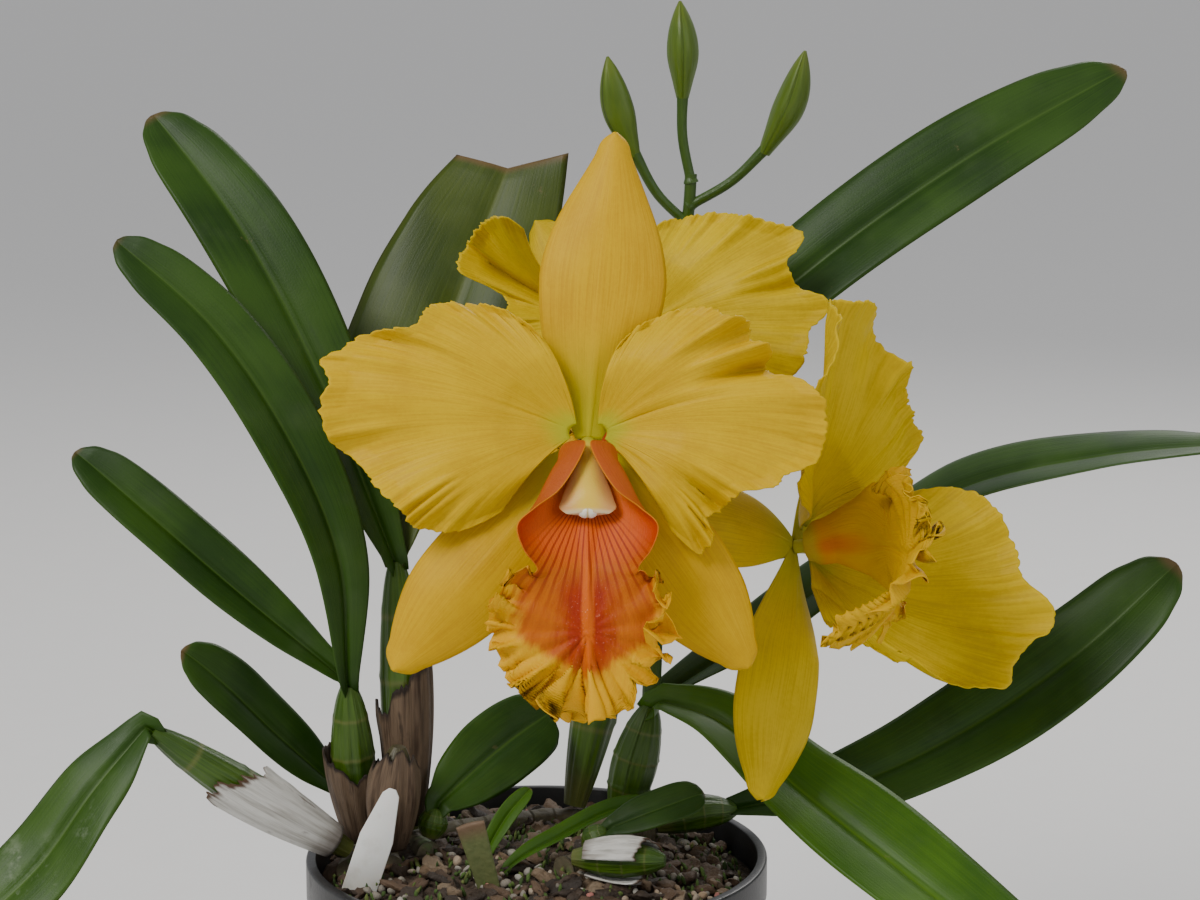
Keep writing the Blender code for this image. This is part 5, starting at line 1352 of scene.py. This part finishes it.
def potting_mix(rules):
    """The rough top of the mix, its bark chips, pale grit and moss."""
    edge = pot_radius(SOIL_EDGE_HEIGHT) - POT_WALL - SOIL_GAP
    low = POT_FLOOR + SOIL_GAP
    foot = pot_radius(low) - POT_WALL - SOIL_GAP
    radii = np.linspace(0, edge, SOIL_RINGS)[::-1]
    profile = [(0, low), (foot, low)] + [(r, soil_height(r) - SOIL_DROP) for r in radii]
    piece = lathe("potting_mix_body", profile, SOIL_SIDES)
    for vertex in piece.data.vertices:
        if vertex.co.z > SOIL_EDGE_HEIGHT - 3 * MM:
            x, y = vertex.co.x / MM, vertex.co.y / MM
            swell = math.sin(x * 0.9 + math.sin(y * 0.7)) + math.sin(y * 1.3 + x * 0.4)
            vertex.co.z += SOIL_SWELL * swell
    dressed(piece, "bark_crumb", "potting_mix", "potting_mix")
    rings = [(r, soil_height(r)) for r in np.linspace(edge - LITTER_INSET, 0, 24)]
    for name, made in LITTER.items():
        ground = lathe("ground", rings, 48)
        finish = made["finish"]
        scatter = rules["litter"].applied("mix_" + name, ground.data, finish, made["values"])
        bpy.data.objects.remove(ground)
        dressed(scatter, finish, "potting_mix")


def rhizome(rules):
    """The creeping rootstock, ringed at its joints, that half sinks in the mix."""
    pieces = []
    for i, route in enumerate([RHIZOME_ROUTE, *RHIZOME_BRANCHES]):
        route = [(x, y, (soil_height(math.hypot(x, y) * MM) + RHIZOME_LIFT) / MM) for x, y in route]
        shares = np.linspace(0, 1, 40 + 50 * (i == 0))
        thick = (RHIZOME_RADIUS - 0.4 * MM * (i > 0)) * (0.94 + 0.06 * waver(shares * 40, i))
        thick = thick * (1 + 0.05 * np.abs(np.sin(shares * (60 if i == 0 else 14))) ** 6)
        curve = spline(f"rhizome_{i}", along(route, shares), thick)
        values = {"Sides": 32, "Ribs": 7, "Rib Depth": 0.02}
        pieces.append(rules["stalk"].applied(f"rhizome_{i}", curve, "rhizome_bark", values))
    dressed(joined("rhizome_bark_skin", pieces), "rhizome_bark", "rhizome", "rhizome")


def board(name, foot, top, outline, thickness, soft):
    """A flat strip from foot to top with the outline given, its edges rounded."""
    foot, top = np.array(foot) * MM, np.array(top) * MM
    up = unit(top - foot)
    right = unit(np.cross(up, (0, -1, 0.2)))
    axes = np.array([right, up, np.cross(right, up)])
    bm = bmesh.new()
    corners = [bm.verts.new((x, y, -thickness / 2)) for x, y in outline]
    front = bmesh.ops.extrude_face_region(bm, geom=[bm.faces.new(corners)])
    lifted = [item for item in front["geom"] if isinstance(item, bmesh.types.BMVert)]
    bmesh.ops.translate(bm, verts=lifted, vec=(0, 0, thickness))
    bmesh.ops.recalc_face_normals(bm, faces=bm.faces)
    bmesh.ops.bevel(
        bm, geom=bm.edges[:], offset=soft, segments=3, profile=0.5, affect="EDGES", clamp_overlap=True,
    )
    mesh = bpy.data.meshes.new(name)
    bm.to_mesh(mesh)
    bm.free()
    mesh.transform(Matrix.Translation(Vector(foot)) @ Matrix(axes.T.tolist()).to_4x4())
    return shown(name, mesh)


def tag():
    """The blank plastic plant tag, pointed at its top."""
    side = TAG_WIDTH / 2
    tall = np.linalg.norm(np.subtract(TAG_TOP, TAG_FOOT)) * MM
    neck = tall - TAG_NARROWING
    right = [(side, 0), (side, neck), (side * 0.5, tall - 2 * MM), (side * 0.2, tall)]
    outline = [(-x, y) for x, y in right] + right[::-1]
    piece = board("plant_tag_strip", TAG_FOOT, TAG_TOP, outline, TAG_THICKNESS, 0.25 * MM)
    dressed(piece, "tag_plastic", "plant_tag", "plant_tag")


def stub():
    """What is left of a leaf that was cut off, folded along its middle."""
    axis = [STUB_FOOT, tuple(np.add(STUB_FOOT, STUB_TOP) / 2), STUB_TOP]
    u, v = grid(STUB_ROWS, STUB_COLUMNS)
    up = unit(np.subtract(STUB_TOP, STUB_FOOT).astype(float))
    right = unit(np.cross(up, (0, -1, 0.2)))
    out = np.cross(right, up)
    half = STUB_WIDTH / 2 * (0.7 + 0.3 * u)
    points = along(axis, u) + right * (half * v)[..., None]
    points = points + out * (STUB_THICKNESS * 0.35 * (np.abs(v) ** 1.5 - 0.5))[..., None]
    thin = STUB_THICKNESS * 0.55 * (1 - 0.7 * v**4)
    piece = sheet("cut_leaf_stub_blade", points, thin, u, v)
    dressed(piece, "dry_leaf", "leaf", "cut_leaf_stub")


def petal_finish(name, deep, light, claw, green_reach, fibres):
    """Petal tissue: fibres that fan out along it, a green-yellow claw, a thin bright edge."""
    look = Finish(name, {
        "Specular IOR Level": 0.16, "Subsurface Weight": 0.08, "Subsurface Scale": 0.0015,
        "Subsurface Radius": (1.0, 0.6, 0.05),
    })
    u = look.value("along")
    strand = look.strands(fibres, 3.0, 4.0, 0.6)
    fine = look.noise(900.0, detail=2.0)
    blotch = look.noise(60.0, detail=2.0)
    shade = look.rise(strand * 0.55 + blotch * 0.3 + fine * 0.15, 0.36, 0.62)
    colour = look.mix(shade, deep, light)
    green = look.rise(u + (strand - 0.5) * 0.1, green_reach, 0.02)
    colour = look.mix(green * 0.8, colour, claw)
    edge = look.rise(u, 0.975, 1.0) * 0.5
    colour = look.mix(edge, colour, light)
    look.show(colour, strand * 0.18 + 0.42, strand * 0.6 + fine * 0.4, 0.00014)


def pale_lip():
    """The lips of the other blooms: yellow, warm towards the foot, with a red line on the keel."""
    look = Finish("pale_lip", LIP_TISSUE)
    u, wide = look.value("along"), abs(look.value("across"))
    mottle = look.noise(260.0, detail=4.0, rough=0.65)
    strand = look.strands(46.0, 5.0, 3.0, 0.6)
    yellow = look.mix(strand, (0.52, 0.275, 0.0), (0.66, 0.410, 0.0))
    outside = look.mix(look.rise(u, 0.50, 0.10), yellow, (0.60, 0.25, 0.0))
    keel = look.rise(wide + (mottle - 0.5) * 0.06, 0.16, 0.02) * look.rise(u, 0.62, 0.25)
    outside = look.mix(keel * 0.8, outside, (0.56, 0.13, 0.0))
    heart = look.rise(look.value("frill") + (mottle - 0.5) * 0.3, 0.75, 0.35)
    within = look.mix(heart, yellow, (0.42, 0.05, 0.0))
    colour = look.mix(look.value("inner"), outside, within)
    colour = look.mix(look.rise(u, 0.20, 0.10) * 0.7, colour, (0.40, 0.36, 0.01))
    look.show(colour, strand * 0.2 + 0.45, strand + mottle * 0.6, 0.0003)


def apron_colour(look, gold, mottle):
    """The apron inside: an orange heart in its gold frill, crimson on both sides of an orange keel.

    Also gives the share of crimson.
    """
    side, down = abs(look.value("side")), look.value("down")
    streak = look.noise(2.0, look.vector(look.value("fan") * 9.0, down * 0.05), 4.0, 0.65)
    spread = (streak - 0.5) * 1.1 + (mottle - 0.5) * 0.3
    crimson = look.mix(mottle, (0.24, 0.010, 0.001), (0.40, 0.035, 0.0))
    orange = look.mix(streak, (0.34, 0.060, 0.0), (0.56, 0.145, 0.0))
    heart = side / 24.0 + look.rise(down, 52.0, 73.0) + spread * 0.35
    colour = look.mix(look.rise(heart, 1.02, 0.72), gold, orange)
    deep = look.rise(side + spread * 7.0, 11.5, 3.5) * look.rise(down + spread * 9.0, 34.0, 44.0)
    deep = deep * look.rise(down + spread * 9.0, 70.0, 56.0)
    colour = look.mix(deep, colour, crimson)
    keel = look.rise(side + (mottle - 0.5) * 1.2, 2.4, 0.9) * look.rise(down, 69.0, 60.0)
    return look.mix(keel * 0.85, colour, (0.60, 0.115, 0.0)), deep


def lip_rays(look, mottle, soft):
    """How much of a red ray there is: rays fan out from the throat and fade on the apron."""
    fan = look.value("fan")
    rays = look.wave("SINE", fan * 70.0 + (soft - 0.5) * 4.0 + (mottle - 0.5) * 0.8)
    lines = look.rise(rays, 0.10, 0.95) * look.rise(look.value("along"), 0.26, 0.36)
    lines = lines * look.rise(look.value("down"), 56.0, 30.0)
    return lines * look.rise(abs(fan), 0.95, 0.55)


def flame_lip():
    """The front bloom's lip: a red hood and throat, red rays, and the apron inside a gold frill."""
    look = Finish("flame_lip", LIP_TISSUE)
    u, wide, inner = look.value("along"), abs(look.value("across")), look.value("inner")
    mottle = look.noise(260.0, detail=4.0, rough=0.65)
    fine = look.noise(1500.0, detail=3.0)
    soft = look.noise(70.0, detail=2.0)
    strand = look.strands(46.0, 5.0, 3.0, 0.6)
    gold = look.mix(strand * 0.7 + mottle * 0.3, (0.60, 0.27, 0.0), (0.72, 0.42, 0.0))
    apron, deep = apron_colour(look, gold, mottle)
    flame = look.mix(look.rise(wide, 0.30, 0.95), (0.58, 0.090, 0.0), (0.44, 0.040, 0.0))
    throat = look.mix(look.rise(u, 0.42, 0.22), flame, (0.62, 0.20, 0.0))
    within = look.mix(look.rise(u + (mottle - 0.5) * 0.1, 0.52, 0.64), throat, apron)
    within = look.mix(lip_rays(look, mottle, soft) * 0.8, within, (0.24, 0.012, 0.0))
    margin = look.rise(wide, 0.985, 0.997) * look.rise(u, 0.62, 0.50)
    within = look.mix(margin * 0.7, within, (0.62, 0.22, 0.0))
    outside = look.mix(strand * 0.6 + mottle * 0.4, (0.32, 0.055, 0.006), (0.46, 0.100, 0.010))
    outside = look.mix(look.rise(u + (soft - 0.5) * 0.2, 0.52, 0.72), outside, gold)
    outside = look.mix(margin * 0.7, outside, (0.58, 0.20, 0.0))
    colour = look.mix(inner, outside, within)
    glint = look.rise(fine, 0.62, 0.74) * deep * 0.5
    colour = look.mix(glint * inner, colour, (0.72, 0.30, 0.16))
    colour = look.mix(look.rise(u, 0.20, 0.10), colour, (0.42, 0.38, 0.01))
    look.show(colour, strand * 0.2 + 0.42, strand * 0.5 + mottle * 0.5 + fine * 0.3, 0.0004)


def column_wax():
    """The waxy column: yellow down its middle, warmer at its wings, cream at its end."""
    look = Finish("column_wax", {
        "Specular IOR Level": 0.3, "Subsurface Weight": 0.1, "Subsurface Scale": 0.001,
    })
    u = look.value("along")
    middle = look.rise(abs(look.value("across")), 0.85, 0.10)
    colour = look.mix(middle, (0.60, 0.31, 0.10), (0.70, 0.47, 0.05))
    colour = look.mix(look.rise(u, 0.95, 1.0), colour, (0.66, 0.52, 0.30))
    colour = look.mix(look.rise(u, 0.30, 0.12), colour, (0.42, 0.38, 0.02))
    look.show(colour, look.noise(300.0) * 0.2 + 0.3, look.noise(1400.0), 0.0001)


def cap_white():
    """The white anther cap, ochre in the cleft between its lobes."""
    look = Finish("cap_white", {"Subsurface Weight": 0.2, "Subsurface Scale": 0.001})
    grain = look.noise(900.0)
    cleft = look.rise(abs(look.value("along")), 0.16, 0.03)
    colour = look.mix(cleft, (0.72, 0.68, 0.56), (0.56, 0.44, 0.20))
    look.show(colour, grain * 0.2 + 0.4, grain, 0.0001)


def leaf_finish(name, deep, light, vein, stained):
    """A waxy leaf: fine lines along it, a paler midrib, pores, and stains of dried water."""
    look = Finish(name, {"Coat Weight": 0.04, "Coat Roughness": 0.25, "Specular IOR Level": 0.20})
    u, wide = look.value("along"), abs(look.value("across"))
    lines = look.strands(26.0, 3.5, 4.0, 0.6)
    cloud = look.noise(28.0, detail=3.0)
    pores = look.noise(1600.0, detail=2.0)
    shade = look.rise(lines * 0.3 + cloud * 0.7, 0.34, 0.66)
    colour = look.mix(shade, deep, light)
    under = look.value("inner") * -1.0 + 1.0
    colour = look.mix(under * 0.45, colour, light)
    rib = look.rise(wide, 0.06, 0.0)
    colour = look.mix(rib * 0.55, colour, vein)
    colour = look.mix(look.rise(wide, 0.93, 1.0) * 0.6, colour, vein)
    scar = look.rise(look.noise(95.0, detail=5.0, rough=0.7), 0.68, 0.74)
    colour = look.mix(scar * 0.35, colour, (0.16, 0.12, 0.05))
    tip = look.rise(u + (cloud - 0.5) * 0.06, 0.975, 1.0)
    colour = look.mix(tip * 0.85, colour, (0.13, 0.075, 0.030))
    rough = lines * 0.14 + cloud * 0.14 + 0.30
    if stained:
        lime = look.rise(look.noise(120.0, detail=6.0, rough=0.7), 0.50, 0.66)
        lime = lime * look.rise(look.noise(22.0), 0.42, 0.62)
        colour = look.mix(lime * 0.62, colour, (0.44, 0.46, 0.38))
        rough = rough + lime * 0.3
    dust = look.rise(look.noise(60.0, detail=4.0), 0.5, 0.8) * 0.05
    colour = look.mix(dust, colour, (0.22, 0.23, 0.18))
    look.show(colour, rough, lines * 0.5 + pores * 0.3 + rib * -0.5, 0.00018)


def dry_leaf():
    """The cut leaf stub: dull green, brown at its cut end."""
    look = Finish("dry_leaf")
    grain = look.noise(500.0)
    top = look.rise(look.value("along"), 0.75, 0.98)
    colour = look.mix(grain, (0.07, 0.10, 0.03), (0.16, 0.17, 0.06))
    colour = look.mix(top, colour, (0.14, 0.085, 0.045))
    look.show(colour, grain * 0.3 + 0.45, grain, 0.0003)


def bulb_finish(name, deep, light, dry):
    """Pseudobulb skin: furrow shades, drier near the foot and at the rings."""
    look = Finish(name, {"Coat Weight": 0.05, "Coat Roughness": 0.3, "Specular IOR Level": 0.35})
    u = look.value("along")
    lines = look.strands(40.0, 3.0, 4.0)
    cloud = look.noise(45.0)
    colour = look.mix(look.rise(lines * 0.5 + cloud * 0.5, 0.36, 0.64), deep, light)
    colour = look.mix(look.rise(u + (cloud - 0.5) * 0.3, 0.24, 0.02) * 0.8, colour, dry)
    for place in BULB_RINGS:
        ring = look.rise(abs(u - place), 0.02, 0.0)
        colour = look.mix(ring * 0.6, colour, dry)
    look.show(colour, lines * 0.2 + 0.28, lines, 0.0004)


def paper_finish(name, deep, light, edge):
    """Dry sheath paper: fine lines along it, a few dark stains, and a scorched torn edge."""
    look = Finish(name, {"Specular IOR Level": 0.3})
    u = look.value("along")
    lines = look.strands(70.0, 1.6, 5.0, 0.65)
    broad = look.strands(7.0, 1.2, 3.0, 0.6)
    cloud = look.noise(110.0, detail=4.0)
    colour = look.mix(look.rise(lines * 0.3 + broad * 0.7, 0.36, 0.56), deep, light)
    stain = look.rise(broad * 0.6 + cloud * 0.4, 0.56, 0.64)
    colour = look.mix(stain * 0.7, colour, edge)
    torn = look.rise(u + (cloud - 0.5) * 0.20, 0.93, 1.0)
    colour = look.mix(torn, colour, edge)
    foot = look.rise(u + (cloud - 0.5) * 0.3, 0.25, 0.0)
    colour = look.mix(foot * 0.6, colour, edge)
    look.show(colour, lines * 0.2 + 0.5, lines + cloud * 0.4, 0.0005)


def stem_skin():
    """The green of the flower stems, streaked along them."""
    look = Finish("stem_skin", {"Specular IOR Level": 0.35})
    strand = look.strands(30.0, 6.0)
    colour = look.mix(strand, (0.018, 0.045, 0.003), (0.050, 0.105, 0.008))
    look.show(colour, strand * 0.2 + 0.28, strand, 0.0002)


def bud_skin():
    """A closed bud: three dark seams between its sepals, paler towards its tip."""
    look = Finish("bud_skin", {
        "Specular IOR Level": 0.35, "Subsurface Weight": 0.05, "Subsurface Scale": 0.001,
    })
    strand = look.strands(22.0, 4.0)
    colour = look.mix(strand, (0.045, 0.085, 0.002), (0.090, 0.145, 0.006))
    seam = look.rise(abs(look.wave("FRACT", look.value("across") * 3.0) - 0.5), 0.46, 0.5)
    colour = look.mix(seam * 0.6, colour, (0.020, 0.045, 0.003))
    colour = look.mix(look.rise(look.value("along"), 0.7, 1.0) * 0.5, colour, (0.130, 0.170, 0.010))
    look.show(colour, strand * 0.2 + 0.3, strand + seam * -1.5, 0.0002)


def rhizome_bark():
    """The rootstock's bark, ringed and green in places."""
    look = Finish("rhizome_bark")
    grain = look.noise(420.0, detail=5.0)
    ring = look.rise(look.wave("FRACT", look.value("along") * 19.0), 0.86, 1.0)
    colour = look.mix(grain, (0.045, 0.032, 0.020), (0.150, 0.130, 0.070))
    colour = look.mix(look.rise(look.noise(70.0), 0.55, 0.68), colour, (0.09, 0.14, 0.04))
    look.show(colour, grain * 0.3 + 0.5, grain + ring, 0.0006)


def bark_chip():
    """Bark chips, from nearly black to pale straw."""
    look = Finish("bark_chip")
    grain = look.noise(600.0, detail=4.0)
    colour = look.ramp(look.value("tone"), [
        (0.0, (0.020, 0.013, 0.008)), (0.35, (0.060, 0.036, 0.020)), (0.6, (0.110, 0.062, 0.032)),
        (0.82, (0.170, 0.105, 0.055)), (1.0, (0.26, 0.19, 0.12)),
    ])
    colour = look.mix(grain * 0.6, colour, (0.022, 0.014, 0.009))
    look.show(colour, grain * 0.25 + 0.6, grain, 0.0008)


def pale_grit():
    """Grit, mostly grey and cream, with a few rusty and red grains."""
    look = Finish("pale_grit")
    grain = look.noise(1500.0, detail=3.0)
    colour = look.ramp(look.value("tone"), [
        (0.0, (0.12, 0.10, 0.08)), (0.4, (0.24, 0.22, 0.18)), (0.7, (0.40, 0.38, 0.33)),
        (0.93, (0.34, 0.22, 0.12)), (0.99, (0.42, 0.12, 0.10)),
    ])
    colour = look.mix(grain * 0.5, colour, (0.22, 0.19, 0.15))
    look.show(colour, grain * 0.2 + 0.6, grain, 0.0003)


def moss_tuft():
    """Moss, dark to yellow-green from tuft to tuft."""
    look = Finish("moss_tuft")
    grain = look.noise(2500.0)
    colour = look.ramp(look.value("tone"), [
        (0.0, (0.030, 0.060, 0.010)), (0.6, (0.070, 0.130, 0.020)), (1.0, (0.130, 0.150, 0.035)),
    ])
    look.show(colour, grain * 0.2 + 0.7, grain, 0.0004)


def bark_crumb():
    """The crumbly mix under the chips."""
    look = Finish("bark_crumb")
    grain = look.noise(380.0, detail=6.0)
    speck = look.add("ShaderNodeTexVoronoi", {"Vector": look.place(), "Scale": 700.0}, output=0)
    colour = look.mix(grain, (0.014, 0.010, 0.007), (0.110, 0.070, 0.042))
    look.show(colour, grain * 0.2 + 0.7, grain + speck * 0.6, 0.0016)


def pot_plastic():
    """Black moulded plastic, dusty and scuffed in patches."""
    look = Finish("pot_plastic", {"Coat Weight": 0.05, "Coat Roughness": 0.4})
    grain = look.noise(900.0, detail=4.0)
    scuff = look.rise(look.noise(55.0, detail=5.0), 0.56, 0.74)
    colour = look.mix(scuff * 0.6, (0.013, 0.013, 0.014), (0.042, 0.041, 0.040))
    look.show(colour, grain * 0.12 + scuff * 0.16 + 0.30, grain, 0.00008)


def tag_plastic():
    """The tag's white plastic, stained in patches and where it leaves the mix."""
    look = Finish("tag_plastic", {"Subsurface Weight": 0.1, "Subsurface Scale": 0.002})
    stain = look.rise(look.noise(120.0, detail=4.0), 0.5, 0.75)
    low = look.rise(look.parts(look.place())[2], 0.152, 0.140)
    colour = look.mix(stain * 0.25 + low * 0.4, (0.74, 0.74, 0.71), (0.36, 0.32, 0.24))
    look.show(colour, stain * 0.2 + 0.36, look.noise(800.0), 0.00005)


def studio_floor():
    """The plain pale floor."""
    look = Finish("studio_floor")
    grain = look.noise(40.0, detail=2.0)
    colour = look.mix(grain, (0.78, 0.77, 0.75), (0.80, 0.79, 0.77))
    look.show(colour, grain * 0.05 + 0.62, grain, 0.00002)


def finishes():
    """Every material of the scene."""
    for made, finish in (
        (PETAL_COLOURS, petal_finish), (LEAF_COLOURS, leaf_finish), (BULB_COLOURS, bulb_finish),
        (PAPER_COLOURS, paper_finish),
    ):
        for name, values in made.items():
            finish(name, *values)
    for finish in (
        flame_lip, pale_lip, column_wax, cap_white, dry_leaf, stem_skin, bud_skin, rhizome_bark,
        bark_chip, pale_grit, moss_tuft, bark_crumb, pot_plastic, tag_plastic, studio_floor,
    ):
        finish()


def stage():
    """The pale floor, the soft lights, the pale surroundings and the photo's camera."""
    corners = [(x * FLOOR_SIZE, y * FLOOR_SIZE, 0) for x, y in ((-1, -1), (1, -1), (1, 1), (-1, 1))]
    mesh = bpy.data.meshes.new("floor")
    mesh.from_pydata(corners, [], [(0, 1, 2, 3)])
    floor = bpy.data.objects.new("floor", mesh)
    bpy.context.scene.collection.objects.link(floor)
    mesh.materials.append(bpy.data.materials["studio_floor"])
    world = bpy.data.worlds.new("studio")
    world.use_nodes = True
    world.node_tree.nodes["Background"].inputs["Color"].default_value = (*WORLD_COLOUR, 1)
    world.node_tree.nodes["Background"].inputs["Strength"].default_value = WORLD_STRENGTH
    bpy.context.scene.world = world
    for name, place, aim, across, power, colour in LIGHTS:
        lamp = bpy.data.lights.new(name, "AREA")
        lamp.shape = "DISK"
        lamp.size = across
        lamp.energy = power
        lamp.color = colour
        obj = bpy.data.objects.new(name, lamp)
        obj.location = place
        obj.rotation_euler = (Vector(aim) - Vector(place)).to_track_quat("-Z", "Y").to_euler()
        bpy.context.scene.collection.objects.link(obj)
    lens = bpy.data.cameras.new("camera")
    lens.lens = CAMERA_LENS
    lens.sensor_width = 36
    lens.clip_start = 0.01
    lens.clip_end = 1000
    camera = bpy.data.objects.new("camera", lens)
    camera.location = CAMERA_PLACE
    camera.rotation_euler = (math.radians(CAMERA_TILT), 0, 0)
    bpy.context.scene.collection.objects.link(camera)
    bpy.context.scene.camera = camera


def build():
    """The whole model, its materials and its stage."""
    finishes()
    rules = {
        "strap_leaf": leaf_rule("strap_leaf", LEAF_WIDTH_ALONG),
        "notched_leaf": leaf_rule("notched_leaf", NOTCHED_WIDTH_ALONG),
        "stalk": stalk_rule(),
        "litter": litter_rule(),
    }
    leaves(rules)
    bulbs(rules)
    sheaths()
    ovaries = [bloom(name, **made) for name, made in BLOOMS.items()]
    stems(rules, ovaries)
    pot()
    potting_mix(rules)
    rhizome(rules)
    tag()
    stub()
    stage()


build()
